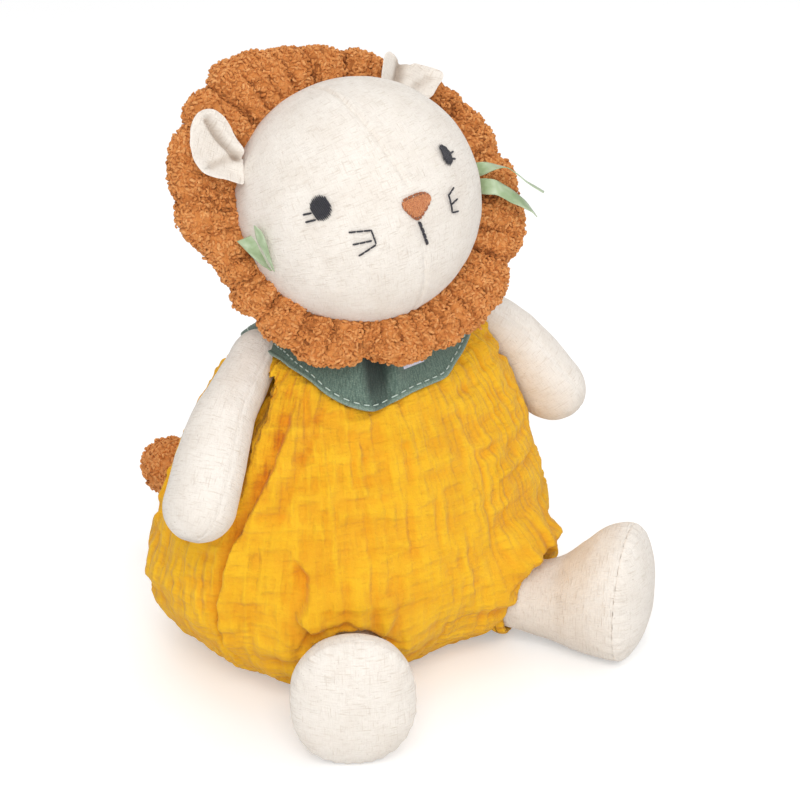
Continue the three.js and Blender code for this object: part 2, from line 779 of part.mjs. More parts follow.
// Mane frame: a ring behind the face, tipped back, whose angle runs from the lion's left over the top
const intoMane = new THREE.Matrix4().makeRotationX(maneTilt)
  .multiply(new THREE.Matrix4().makeTranslation(0, maneSetBack, -maneDrop));

function manePlace(angle, out, forward) {
  const bend = maneChestBend * ((1 - Math.sin(angle)) / 2) ** 3;
  return new THREE.Vector3(Math.cos(angle) * out, -forward - bend, Math.sin(angle) * out)
    .applyMatrix4(intoMane);
}

// Distance from the ring's middle at which the way out leaves the head, at a place forward of the ring
function headEdge(angle, forward) {
  let out = headHalfWidth / 2;
  const share = (p) => (p.x / headHalfWidth) ** 2 + (p.y / headHalfDepth) ** 2 + (p.z / headHalfHeight) ** 2;
  while (share(manePlace(angle, out, forward)) < 1) {
    out += pressStep;
  }
  return out + sewnGap;
}

// Mane: a gathered tube whose lobes meet in creases
function mane() {
  const steps = maneLobes * stepsPerLobe;
  const sections = Array.from({ length: steps }, (_, i) => {
    const angle = (i / steps) * 2 * Math.PI;
    const lobe = Math.sqrt(Math.abs(Math.sin((angle * maneLobes) / 2)));
    const swell = THREE.MathUtils.lerp(maneCreaseShare, 1, lobe);
    const halfThickness = (maneThickness / 2) * swell;
    const inner = Math.max(...[-1, 0, 1].map((way) => headEdge(angle, way * halfThickness)));
    const width = maneWidth * swell * shareAround(maneWidthShares, i / steps);
    return Array.from({ length: maneSectionSides }, (_, j) => {
      const turn = ((j + 0.5) / maneSectionSides) * 2 * Math.PI;
      const out = 1 + Math.cos(turn) / Math.cos(Math.PI / maneSectionSides);
      return manePlace(angle, inner + (width / 2) * out, halfThickness * Math.sin(turn));
    });
  });
  return skinRings(sections);
}

// Ears: a cupped leaf that stands in front of the mane, its foot on the head
function ear(side) {
  const angle = side > 0 ? earAngle : Math.PI - earAngle;
  const forward = maneThickness / 2 + (side > 0 ? sewnGap + earThickness : earThickness / 2 - earSink);
  const foot = headEdge(angle, forward + earCup) + earEase + (side > 0 ? 0 : earFoot);
  const height = side > 0 ? leftEarHeight : rightEarHeight;
  const width = side > 0 ? leftEarWidth : rightEarWidth;
  return sheetSolid((u, v) => {
    const open = THREE.MathUtils.lerp(earFootShare, 1, Math.sin(v * Math.PI * earSwellShare));
    const across = (u - 0.5) * width * open * Math.sqrt(1 - earPointShare * v * v);
    const cup = earCup * (4 * (u - 0.5) ** 2) * (1 - earTipCupShare * v);
    const place = manePlace(angle, foot + height * v, forward + cup);
    const beside = manePlace(angle - smallTurn, foot, forward);
    const tangent = manePlace(angle + smallTurn, foot, forward).sub(beside).normalize();
    return place.addScaledVector(tangent, across);
  }, earSides, earRings, earThickness);
}

// Ribbon tabs: one strip folded at the mane's seam into two tails
function ribbon(side) {
  const angle = side > 0 ? -ribbonRootAngle : Math.PI + ribbonRootAngle;
  const forward = maneThickness / 2 + sewnGap * 2 + ribbonWidth / 2;
  const out = headEdge(angle, forward + ribbonWidth / 2) + sewnGap * 2 + ribbonThickness;
  const root = manePlace(angle, out, forward);
  const shares = side > 0 ? leftRibbonShares : rightRibbonShares;
  const path = new THREE.CatmullRomCurve3(shares.map(([aside, rise, front]) => root.clone().add(
    new THREE.Vector3(side * aside, -front, rise).multiplyScalar(ribbonLength))));
  const lean = new THREE.Vector3(...ribbonLean);
  const place = (u, v) => path.getPoint(THREE.MathUtils.clamp(v, 0, 1))
    .addScaledVector(lean, (u - 0.5) * ribbonWidth)
    .addScaledVector(path.getTangent(0.5), (v - 0.5) * ribbonThickness);
  return sheetSolid(place, 1, ribbonRings, ribbonThickness);
}

// Tail: a stem with a ball in the back seam, and a round tuft on its end
const tailWay = new THREE.Vector3(-Math.sin(tailYaw), Math.cos(tailYaw), 0);

function tailStem(growth) {
  const across = new THREE.Vector3().crossVectors(tailWay, upward);
  const ring = (along, radius) => ovalRing(tailRoot.clone().addScaledVector(tailWay, along),
    across.clone().multiplyScalar(radius), upward.clone().multiplyScalar(radius), tailSides);
  const ball = tailBallRadius + growth;
  const stem = tailStemRadius + growth;
  const end = tailLength - pomSeat / 3 + growth;
  const neckAt = Math.sqrt(Math.max(0, ball * ball - stem * stem));
  const rings = [
    ring(-ball * 0.87, ball * 0.5), ring(-ball * 0.5, ball * 0.87), ring(0, ball),
    ring(neckAt, stem), ring(end - stem, stem), ring(end - stem * 0.3, stem * 0.7),
  ];
  const pole = (along) => tailRoot.clone().addScaledVector(tailWay, along);
  return skinRings(rings, pole(-ball), pole(end));
}

function tailPom() {
  const centre = tailRoot.clone().addScaledVector(tailWay, tailLength);
  return cut(ballAt(centre, pomRadius, pomSides), tailStem(sewnGap));
}

// The whole lion
const lion = new THREE.Group();
const head = new THREE.Group();
head.applyMatrix4(intoHead);
lion.add(head);

function addPiece(group, name, geometry, colour, roughness = 0.95) {
  const material = new THREE.MeshStandardMaterial({ color: colour, roughness, metalness: 0 });
  const mesh = new THREE.Mesh(geometry, material);
  mesh.name = name;
  group.add(mesh);
}

addPiece(lion, 'romper', bodyShell(0, muslinWall, true), colours.muslin);
addPiece(lion, 'body_lining', bodyShell(liningInset, liningWall), colours.lining);
addPiece(lion, 'body_stuffing', bodyStuffing(), colours.filling);
addPiece(lion, 'pellet_pouch', pouchSolid(0), colours.lining);
addPiece(lion, 'neckerchief', neckerchief(), colours.scarf);
addPiece(lion, 'blank_tag', scarfTag(), colours.tag);
addPiece(lion, 'neck_stuffing', ballAt(neckPlace, neckRadius), colours.filling);
addPiece(lion, 'tail_stem', tailStem(0), colours.linen);
addPiece(lion, 'tail_pom', tailPom(), colours.boucle);

addPiece(head, 'head_bag', headBag(), colours.linen);
addPiece(head, 'head_stuffing', headStuffing(), colours.filling);
addPiece(head, 'mane', mane(), colours.boucle);
addPiece(head, 'nose', nose(), colours.rust);
addPiece(head, 'mouth_stitch', mouth(), colours.black);

[['left', 1], ['right', -1]].forEach(([name, side]) => {
  addPiece(head, `${name}_ear`, ear(side), colours.linen);
  addPiece(head, `${name}_eye`, eye(side), colours.black, 0.5);
  addPiece(head, `${name}_whiskers`, whiskers(side), colours.black);
  addPiece(head, `${name}_ribbon`, ribbon(side), colours.ribbon, 0.45);
  addPiece(lion, `${name}_arm_skin`, armSkin(side), colours.linen);
  addPiece(lion, `${name}_arm_stuffing`, armSolid(side, linenWall + sewnGap), colours.filling);
  addPiece(lion, `${name}_leg_skin`, legSkin(side), colours.linen);
  addPiece(lion, `${name}_leg_stuffing`, legStuffing(side), colours.filling);
  addPiece(lion, `${name}_sole`, legSole(side), colours.linen);
  addPiece(lion, `${name}_leg_cuff`, legCuff(side), colours.muslin);
  addPiece(lion, `${name}_cuff_elastic`, legElastic(side), colours.elastic);
});

export default lion;
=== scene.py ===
"""Looks of the plush lion: its cloth, curls, stitches and ribbons, and the studio it sits in.

Every size is in millimetres and every mesh is brought to metres when it is written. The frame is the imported
model's: +Z up, -Y the way the lion faces, +X the lion's own left.
"""

from __future__ import annotations

import json
import logging
import math
from dataclasses import dataclass, field
from enum import Enum
from typing import Callable, Sequence

import bpy
import numpy as np
from mathutils import Matrix, Vector

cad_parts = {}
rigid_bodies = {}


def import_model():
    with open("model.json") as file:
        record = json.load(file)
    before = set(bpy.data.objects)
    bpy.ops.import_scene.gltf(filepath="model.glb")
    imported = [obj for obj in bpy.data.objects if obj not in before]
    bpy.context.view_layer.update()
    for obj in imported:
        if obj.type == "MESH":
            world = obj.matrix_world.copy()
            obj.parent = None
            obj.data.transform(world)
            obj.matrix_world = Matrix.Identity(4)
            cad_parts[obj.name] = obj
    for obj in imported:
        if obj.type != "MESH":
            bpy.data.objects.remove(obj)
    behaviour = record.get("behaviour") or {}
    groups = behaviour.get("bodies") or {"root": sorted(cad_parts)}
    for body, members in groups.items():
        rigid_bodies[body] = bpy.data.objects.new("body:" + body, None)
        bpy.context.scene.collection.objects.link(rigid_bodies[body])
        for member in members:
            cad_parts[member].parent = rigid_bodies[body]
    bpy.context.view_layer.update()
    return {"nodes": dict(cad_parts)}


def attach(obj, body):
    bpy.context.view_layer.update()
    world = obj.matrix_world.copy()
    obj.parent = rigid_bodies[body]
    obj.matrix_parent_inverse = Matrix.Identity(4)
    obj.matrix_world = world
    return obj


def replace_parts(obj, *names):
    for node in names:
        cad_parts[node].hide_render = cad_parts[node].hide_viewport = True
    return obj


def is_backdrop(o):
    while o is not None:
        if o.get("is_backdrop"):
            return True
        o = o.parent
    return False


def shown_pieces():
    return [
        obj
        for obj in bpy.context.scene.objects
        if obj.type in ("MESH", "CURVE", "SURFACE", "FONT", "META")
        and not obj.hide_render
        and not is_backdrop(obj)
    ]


log = logging.getLogger("lion")
Array = np.ndarray
Piece = bpy.types.Object
Place = Callable[[Array, Array], Array]
Socket = bpy.types.NodeSocket
MM = 0.001
TURN = 2 * math.pi
UP = np.array([0, 0, 1.0])


class Side(Enum):
    """The lion's own left and right."""

    LEFT = 1
    RIGHT = -1

    @property
    def word(self) -> str:
        """The side's name, as the nodes have it."""
        return self.name.lower()


def ease(x: Array) -> Array:
    """Smooth step from 0 to 1."""
    x = np.clip(x, 0, 1)
    return x * x * (3 - 2 * x)


def bump(x: Array, width: float) -> Array:
    """A bell of height 1 round 0."""
    return np.exp(-((x / width) ** 2))


def hashed(cell: Array, seed: int) -> Array:
    """A number from 0 to 1 for each lattice cell.

    Args:
        cell: whole numbers, three for each cell.
        seed: another seed gives other numbers.

    Returns:
        A number for each cell.
    """
    h = (cell[:, 0] * 374761393 + cell[:, 1] * 668265263 + cell[:, 2] * 1440662683 + seed * 974634777) & 0xFFFFFFFF
    h = ((h ^ (h >> 13)) * 1274126177) & 0xFFFFFFFF
    h = ((h ^ (h >> 15)) * 668265261) & 0xFFFFFFFF
    return ((h ^ (h >> 16)) & 0xFFFFF) / float(0xFFFFF)


def noise(points: Array, seed: int = 0, octaves: int = 1) -> Array:
    """Smooth noise from -1 to 1 with features about 1 apart, and finer layers at half strength.

    Args:
        points: places, three numbers each.
        seed: another seed gives another noise.
        octaves: how many layers, each twice as fine as the last.

    Returns:
        A value for each place.
    """
    total, weight = np.zeros(len(points)), 0.0
    for layer in range(octaves):
        p = points * 2.0**layer + 17.3 * layer
        base = np.floor(p).astype(np.int64)
        f = p - base
        f = f * f * f * (f * (f * 6 - 15) + 10)
        value = np.zeros(len(p))
        for corner in range(8):
            d = np.array([corner & 1, (corner >> 1) & 1, (corner >> 2) & 1])
            w = np.prod(np.where(d, f, 1 - f), axis=1)
            value += w * hashed(base + d, seed + layer)
        total += (2 * value - 1) * 0.5**layer
        weight += 0.5**layer
    return total / weight


def nubs(points: Array, seed: int = 0) -> Array:
    """Distance from each point to the nearest of scattered centres, about one centre a cell.

    Args:
        points: places, three numbers each.
        seed: another seed scatters the centres elsewhere.

    Returns:
        A distance for each place.
    """
    base = np.floor(points).astype(np.int64)
    best = np.full(len(points), 9.0)
    for dx in (-1, 0, 1):
        for dy in (-1, 0, 1):
            for dz in (-1, 0, 1):
                cell = base + np.array([dx, dy, dz])
                spot = cell + np.stack([hashed(cell, seed + k) for k in (1, 2, 3)], 1)
                best = np.minimum(best, ((points - spot) ** 2).sum(1))
    return np.sqrt(best)


def flat(*columns: Array) -> Array:
    """Columns side by side, as points."""
    return np.stack(np.broadcast_arrays(*columns), -1).astype(float)


def spline(rows: Sequence[Sequence[float]], ways: Array) -> Array:
    """Points on a smooth curve through rows, for ways from 0 to 1 along its length.

    Args:
        rows: the places, or other values, that it passes through.
        ways: where along it the points are asked for.

    Returns:
        A row for each way.
    """
    knots = np.array(rows, float)
    steps = np.linalg.norm(np.diff(knots, axis=0), axis=1) + 1e-9
    at = np.concatenate([[0], np.cumsum(steps)])
    at /= at[-1]
    slope = np.gradient(knots, at, axis=0)
    i = np.clip(np.searchsorted(at, ways, side="right") - 1, 0, len(at) - 2)
    h = at[i + 1] - at[i]
    t = ((np.clip(ways, 0, 1) - at[i]) / h)[:, None]
    h = h[:, None]
    return (
        (2 * t**3 - 3 * t**2 + 1) * knots[i]
        + (t**3 - 2 * t**2 + t) * h * slope[i]
        + (3 * t**2 - 2 * t**3) * knots[i + 1]
        + (t**3 - t**2) * h * slope[i + 1]
    )


def squarer(wave: Array) -> Array:
    """A sine or cosine whose circle is a little squarer."""
    return np.sign(wave) * np.abs(wave) ** 0.9


def unit(v: Array) -> Array:
    """Vectors of length 1."""
    return v / np.maximum(np.linalg.norm(v, axis=-1, keepdims=True), 1e-12)


def turned(x: float, y: float, z: float) -> Array:
    """Turning matrix Rz Rx Ry, from angles in degrees about each axis."""
    rz, rx, ry = (Matrix.Rotation(math.radians(a), 3, k) for a, k in ((z, "Z"), (x, "X"), (y, "Y")))
    return np.array(rz @ rx @ ry)


def beside(u: Array, v: Array, path: Sequence[tuple[Array, Array]]) -> tuple[Array, Array]:
    """How far places are to the side of a line, and the share of the line that they are beside.

    Args:
        u: the places' way across.
        v: the places' way up.
        path: the line's own places; each number may be an array, with one value for each place.

    Returns:
        Distances, below zero on the side of smaller u where the line runs down, and shares.
    """
    best, off, share = np.full(len(u), 1e9), np.full(len(u), 1e9), np.zeros(len(u))
    for i in range(len(path) - 1):
        (u0, v0), (u1, v1) = path[i], path[i + 1]
        du, dv = u1 - u0, v1 - v0
        t = np.clip(((u - u0) * du + (v - v0) * dv) / (du * du + dv * dv), 0, 1)
        far = np.hypot(u - u0 - t * du, v - v0 - t * dv)
        closer = far < best
        best = np.where(closer, far, best)
        off = np.where(closer, far * np.sign(du * (v - v0) - dv * (u - u0)), off)
        share = np.where(closer, (i + t) / (len(path) - 1), share)
    return off, share


def primitive(name: str, add: Callable[..., object], **sizes: float) -> Piece:
    """Adds a primitive alone in the selection and names it.

    Args:
        name: the piece's name.
        add: the operator that adds it.
        sizes: the operator's own settings.

    Returns:
        The piece.
    """
    bpy.ops.object.select_all(action="DESELECT")
    add(**sizes)
    made = bpy.context.object
    made.name = made.data.name = name
    for layer in list(made.data.uv_layers):
        made.data.uv_layers.remove(layer)
    return made


def corners(piece: Piece) -> Array:
    """The mesh's points, in millimetres.

    Args:
        piece: whose mesh is read.

    Returns:
        A row for each vertex.
    """
    co = np.empty(len(piece.data.vertices) * 3)
    piece.data.vertices.foreach_get("co", co)
    return co.reshape(-1, 3) / MM


def outs(piece: Piece) -> Array:
    """The way out of the mesh at each point.

    Args:
        piece: whose mesh is read.

    Returns:
        A normal for each vertex.
    """
    normal = np.empty(len(piece.data.vertices) * 3)
    piece.data.vertices.foreach_get("normal", normal)
    return normal.reshape(-1, 3)


def put(piece: Piece, points: Array) -> None:
    """Moves the mesh to points given in millimetres."""
    piece.data.vertices.foreach_set("co", (np.asarray(points) * MM).astype(np.float32).ravel())
    piece.data.update()


def swell(piece: Piece, height: Array, ground: bool = False) -> None:
    """Moves each point out by a height, and keeps the mesh above the ground if asked.

    Args:
        piece: whose mesh is moved.
        height: millimetres for each vertex, below zero to go in.
        ground: whether the ground stops it.
    """
    p = corners(piece) + outs(piece) * height[:, None]
    if ground:
        p[:, 2] = np.maximum(p[:, 2], 0)
    put(piece, p)


def smooth(piece: Piece) -> None:
    """Smooth shading all over."""
    piece.data.polygons.foreach_set("use_smooth", np.ones(len(piece.data.polygons), bool))


def edited(piece: Piece, operate: Callable[..., object], **settings: object) -> None:
    """Runs one edit on the whole mesh.

    Args:
        piece: whose mesh is edited.
        operate: the edit mode operator.
        settings: the operator's own settings.
    """
    bpy.ops.object.select_all(action="DESELECT")
    bpy.context.view_layer.objects.active = piece
    piece.select_set(True)
    bpy.ops.object.mode_set(mode="EDIT")
    bpy.ops.mesh.select_all(action="SELECT")
    operate(**settings)
    bpy.ops.object.mode_set(mode="OBJECT")
    piece.select_set(False)


def outward(piece: Piece) -> None:
    """Turns a closed mesh's faces outwards."""
    edited(piece, bpy.ops.mesh.normals_make_consistent, inside=False)


def thicken(piece: Piece, thickness: float) -> None:
    """Gives a sheet its thickness, in millimetres, half each way.

    Args:
        piece: the sheet.
        thickness: of its cloth.
    """
    modifier = piece.modifiers.new("Thickness", "SOLIDIFY")
    modifier.thickness, modifier.offset = thickness * MM, 0
    bpy.context.view_layer.objects.active = piece
    bpy.ops.object.modifier_apply(modifier=modifier.name)


def write_uv(piece: Piece, uv: Array, period: float = 0.0) -> None:
    """Writes the cloth's own coordinates, in millimetres of cloth.

    Args:
        piece: whose mesh gets the layer "cloth".
        uv: a pair for each vertex.
        period: the way round in u, where the mesh closes on itself.
    """
    mesh = piece.data
    index = np.empty(len(mesh.loops), np.int64)
    mesh.loops.foreach_get("vertex_index", index)
    face = np.repeat(np.arange(len(mesh.polygons)), [p.loop_total for p in mesh.polygons])
    value = uv[index].copy()
    if period:
        top = np.full(len(mesh.polygons), -1e9)
        np.maximum.at(top, face, value[:, 0])
        value[:, 0] += period * (top[face] - value[:, 0] > period / 2)
    mesh.uv_layers.new(name="cloth").data.foreach_set("uv", value.astype(np.float32).ravel())


def write_value(piece: Piece, name: str, value: Array) -> None:
    """Writes one number a vertex, for the piece's material to read."""
    layer = piece.data.attributes.new(name, "FLOAT", "POINT")
    layer.data.foreach_set("value", np.asarray(value, np.float32))


def round_ball(name: str, segments: int, rings: int, place: Place) -> tuple[Piece, Array, Array]:
    """A ball drawn out to a closed form.

    Args:
        name: the piece's name.
        segments: points round it.
        rings: points from end to end.
        place: gives points for the way from end to end, 0 to 1, and the angle round.

    Returns:
        The piece, and each vertex's way and angle.
    """
    piece = primitive(name, bpy.ops.mesh.primitive_uv_sphere_add, segments=segments, ring_count=rings, radius=1)
    p = corners(piece) * MM
    way = np.arccos(np.clip(-p[:, 2], -1, 1)) / math.pi
    angle = np.arctan2(p[:, 1], p[:, 0]) % TURN
    put(piece, place(way, angle))
    smooth(piece)
    return piece, way, angle


def ring(name: str, around: int, across: int, place: Place) -> tuple[Piece, Array, Array]:
    """A torus drawn out to a closed band.

    Args:
        name: the piece's name.
        around: points round the ring.
        across: points round its section.
        place: gives points for the angle round the ring and the angle round its section.

    Returns:
        The piece, and each vertex's two angles.
    """
    piece = primitive(
        name, bpy.ops.mesh.primitive_torus_add, major_segments=around, minor_segments=across,
        major_radius=2, minor_radius=1,
    )
    p = corners(piece) * MM
    big = np.arctan2(p[:, 1], p[:, 0]) % TURN
    small = np.arctan2(p[:, 2], np.hypot(p[:, 0], p[:, 1]) - 2) % TURN
    put(piece, place(big, small))
    smooth(piece)
    outward(piece)
    return piece, big, small


def strip(name: str, across: int, along: int, place: Place) -> tuple[Piece, Array, Array]:
    """A flat grid laid on a surface.

    Args:
        name: the piece's name.
        across: points across it.
        along: points along it.
        place: gives points for the shares across and along, each from 0 to 1.

    Returns:
        The piece, and each vertex's two shares.
    """
    piece = primitive(name, bpy.ops.mesh.primitive_grid_add, x_subdivisions=across, y_subdivisions=along, size=2)
    p = corners(piece) * MM
    u, v = (p[:, 0] + 1) / 2, (p[:, 1] + 1) / 2
    put(piece, place(u, v))
    smooth(piece)
    return piece, u, v


def many(name: str, template: Piece, frames: Array, tints: Array) -> Piece:
    """One piece of many copies of a small shape.

    Args:
        name: the piece's name.
        template: the shape, one millimetre for each unit; it is removed.
        frames: for each copy a 3 by 4 matrix, in millimetres.
        tints: a number for each copy, which its material reads.

    Returns:
        The piece.
    """
    shape = corners(template)
    index = np.empty(len(template.data.loops), np.int64)
    template.data.loops.foreach_get("vertex_index", index)
    sizes = np.array([p.loop_total for p in template.data.polygons])
    count = len(frames)
    points = (np.einsum("nij,vj->nvi", frames[:, :, :3], shape) + frames[:, None, :, 3]).reshape(-1, 3)
    loops = (index[None] + np.arange(count)[:, None] * len(shape)).ravel()
    totals = np.tile(sizes, count)
    mesh = bpy.data.meshes.new(name)
    mesh.vertices.add(len(points))
    mesh.vertices.foreach_set("co", (points * MM).astype(np.float32).ravel())
    mesh.loops.add(len(loops))
    mesh.loops.foreach_set("vertex_index", loops.astype(np.int32))
    mesh.polygons.add(len(totals))
    mesh.polygons.foreach_set("loop_start", np.concatenate([[0], np.cumsum(totals)[:-1]]).astype(np.int32))
    mesh.update(calc_edges=True)
    piece = bpy.data.objects.new(name, mesh)
    bpy.context.scene.collection.objects.link(piece)
    write_value(piece, "tint", np.repeat(tints, len(shape)))
    bpy.data.meshes.remove(template.data)
    smooth(piece)
    return piece


def stitches(name: str, starts: Array, ends: Array, out: Array, radius: float, rise: float = 1.2) -> Piece:
    """Stitches that rise between their two holes, as one piece.

    Args:
        name: the piece's name.
        starts: where each stitch comes up.
        ends: where it goes down again.
        out: the way out of the cloth at each stitch.
        radius: half the thread's thickness.
        rise: how far the middle stands up, in radii.

    Returns:
        The piece.
    """

    def place(way: Array, angle: Array) -> Array:
        """A stitch one long and one thick, with blunt ends."""
        thick = np.sqrt(np.clip(1 - (2 * way - 1) ** 6, 0, 1))
        return flat(way, thick * np.cos(angle), thick * np.sin(angle) + rise * np.sin(way * math.pi) ** 0.5)

    template, _, _ = round_ball("stitch", 6, 9, place)
    along = ends - starts
    across = unit(np.cross(out, along))
    up = unit(np.cross(along, across))
    return many(name, template, np.stack([along, across * radius, up * radius, starts], 2), np.full(len(starts), 0.5))


def joined(name: str, pieces: Sequence[Piece]) -> Piece:
    """Several meshes made one piece.

    Args:
        name: the piece's name.
        pieces: what it is made of; the first one stays.

    Returns:
        The piece.
    """
    bpy.ops.object.select_all(action="DESELECT")
    for piece in pieces:
        piece.select_set(True)
    bpy.context.view_layer.objects.active = pieces[0]
    bpy.ops.object.join()
    made = bpy.context.object
    made.name = made.data.name = name
    made.select_set(False)
    return made


class Recipe:
    """A material's nodes while they are joined up."""

    def __init__(self, name: str) -> None:
        """Starts a material with one principled shader.

        Args:
            name: the material's name.
        """
        self.material = bpy.data.materials.new(name)
        self.material.use_nodes = True
        self.tree = self.material.node_tree
        self.shader = self.tree.nodes["Principled BSDF"]

    def node(self, kind: str, inputs: dict[str, object] | None = None, **settings: object) -> bpy.types.Node:
        """Adds a node; an input given as a socket is linked, and any other is set.

        Args:
            kind: the node's type, without its first words.
            inputs: a socket or a value for each input, by name.
            settings: the node's own settings.

        Returns:
            The node.
        """
        made = self.tree.nodes.new("ShaderNode" + kind)
        for key, value in settings.items():
            setattr(made, key, value)
        for key, value in (inputs or {}).items():
            self.feed(made.inputs[key], value)
        return made

    def feed(self, socket: Socket, value: object) -> None:
        """Links or sets one input.

        Args:
            socket: the input.
            value: a socket to link, or a value to set.
        """
        if isinstance(value, Socket):
            self.tree.links.new(value, socket)
        else:
            socket.default_value = value

    def cloth(self, scale: tuple[float, float] = (1, 1), turn: float = 0) -> Socket:
        """The cloth's coordinates in millimetres, scaled, and turned in degrees.

        Args:
            scale: pattern lengths for each millimetre, across and along.
            turn: how far the pattern is turned.

        Returns:
            The coordinates.
        """
        uv = self.node("UVMap", uv_map="cloth")
        mapped = self.node("Mapping", {"Vector": uv.outputs[0], "Scale": (*scale, 1)})
        mapped.inputs["Rotation"].default_value = (0, 0, math.radians(turn))
        return mapped.outputs[0]

    def space(self, scale: float = 1000) -> Socket:
        """The object's coordinates, in millimetres."""
        at = self.node("TexCoord")
        return self.node("Mapping", {"Vector": at.outputs["Object"], "Scale": (scale,) * 3}).outputs[0]

    def grain(self, where: Socket, scale: float, detail: float = 2, rough: float = 0.5) -> Socket:
        """Noise from 0 to 1, read at some coordinates, with its number of finer layers and their strength."""
        inputs = {"Vector": where, "Scale": scale, "Detail": detail, "Roughness": rough}
        return self.node("TexNoise", inputs).outputs[0]

    def value(self, name: str) -> Socket:
        """The number that the mesh holds under a name."""
        return self.node("Attribute", attribute_name=name).outputs["Fac"]

    def between(self, value: Socket, low: float, high: float,
                to: tuple[float, float] = (0, 1)) -> Socket:
        """The value's way from low to high, kept in range and brought to another one."""
        inputs = {"Value": value, "From Min": low, "From Max": high, "To Min": to[0], "To Max": to[1]}
        return self.node("MapRange", inputs).outputs[0]

    def maths(self, how: str, a: object, b: object = 0.0) -> Socket:
        """One sum of two numbers.

        Args:
            how: the kind of sum.
            a: the first number.
            b: the second one.

        Returns:
            The result.
        """
        made = self.node("Math", operation=how)
        self.feed(made.inputs[0], a)
        self.feed(made.inputs[1], b)
        return made.outputs[0]

    def blend(self, share: object, a: object, b: object) -> Socket:
        """Colour a going over to colour b.

        Args:
            share: how far, from 0 to 1.
            a: the first colour.
            b: the second one.

        Returns:
            The colour.
        """
        made = self.node("Mix", data_type="RGBA")
        for socket, value in zip((made.inputs[0], made.inputs[6], made.inputs[7]), (share, a, b)):
            self.feed(socket, value)
        return made.outputs[2]

    def relief(self, height: Socket, depth: float, strength: float = 1,
               under: object = None) -> Socket:
        """A bump of so many millimetres, on top of another if one is given.

        Args:
            height: from 0 to 1.
            depth: millimetres for a height of 1.
            strength: its strength.
            under: the bump that it lies on.

        Returns:
            The normal.
        """
        made = self.node("Bump", {"Height": height, "Distance": depth * MM, "Strength": strength})
        if under is not None:
            self.feed(made.inputs["Normal"], under)
        return made.outputs[0]

    def shade(self, **sockets: object) -> bpy.types.Material:
        """Sets the shader's own inputs and gives the material.

        Args:
            sockets: a socket or a value for each input, by name.

        Returns:
            The material.
        """
        for key, value in sockets.items():
            self.feed(self.shader.inputs[key.replace("_", " ").title()], value)
        return self.material


def srgb(red: int, green: int, blue: int) -> tuple[float, float, float, float]:
    """A screen colour as linear light."""
    linear = [c / 255 / 12.92 if c <= 10 else ((c / 255 + 0.055) / 1.055) ** 2.4 for c in (red, green, blue)]
    return (*linear, 1.0)


@dataclass(frozen=True)
class Linen:
    """Cream cotton and linen cloth with beige slubs and specks, and painted shade in the ears' hollows."""

    name: str = "linen_cloth"
    ground: tuple[int, int, int] = (239, 232, 223)
    slub: tuple[int, int, int] = (206, 190, 172)
    speck: tuple[int, int, int] = (158, 136, 116)

    def material(self) -> bpy.types.Material:
        """Threads both ways, a slub here and there, short specks, and painted shade where the mesh holds a hollow
        value.

        Returns:
            The material.
        """
        r = Recipe(self.name)
        warp = r.grain(r.cloth((0.32, 2.1)), 1, 3)
        weft = r.grain(r.cloth((2.1, 0.32)), 1, 3)
        slubs = r.maths("MAXIMUM", r.between(r.grain(r.cloth((0.15, 1.5)), 1, 2), 0.57, 0.72),
                        r.between(r.grain(r.cloth((1.5, 0.15)), 1, 2), 0.6, 0.75))
        specks = r.maths("MAXIMUM", r.between(r.grain(r.cloth((0.5, 1.9)), 1, 1), 0.67, 0.76),
                         r.between(r.grain(r.cloth((1.7, 0.55)), 1, 1), 0.69, 0.78))
        cloud = r.grain(r.cloth((0.06, 0.06)), 1, 2)
        tone = r.blend(r.between(cloud, 0.4, 0.75, (0, 0.25)), srgb(*self.ground), srgb(*self.slub))
        tone = r.blend(r.maths("MULTIPLY", slubs, 0.45), tone, srgb(*self.slub))
        tone = r.blend(r.maths("MULTIPLY", specks, 0.3), tone, srgb(*self.speck))
        weave = r.maths("ADD", warp, weft)
        tone = r.blend(r.between(weave, 0.75, 1.2, (0.12, 0)), tone, srgb(*self.speck))
        # painted shade: where the mesh holds a hollow value, in the ears' bowls and creases, the colour goes to the
        # speck colour
        tone = r.blend(r.value("hollow"), tone, srgb(*self.speck))
        height = r.maths("ADD", weave, r.maths("MULTIPLY", slubs, 0.35))
        return r.shade(base_color=tone, roughness=0.92, sheen_weight=0.12, sheen_roughness=0.6,
                       normal=r.relief(height, 0.34, 0.9))


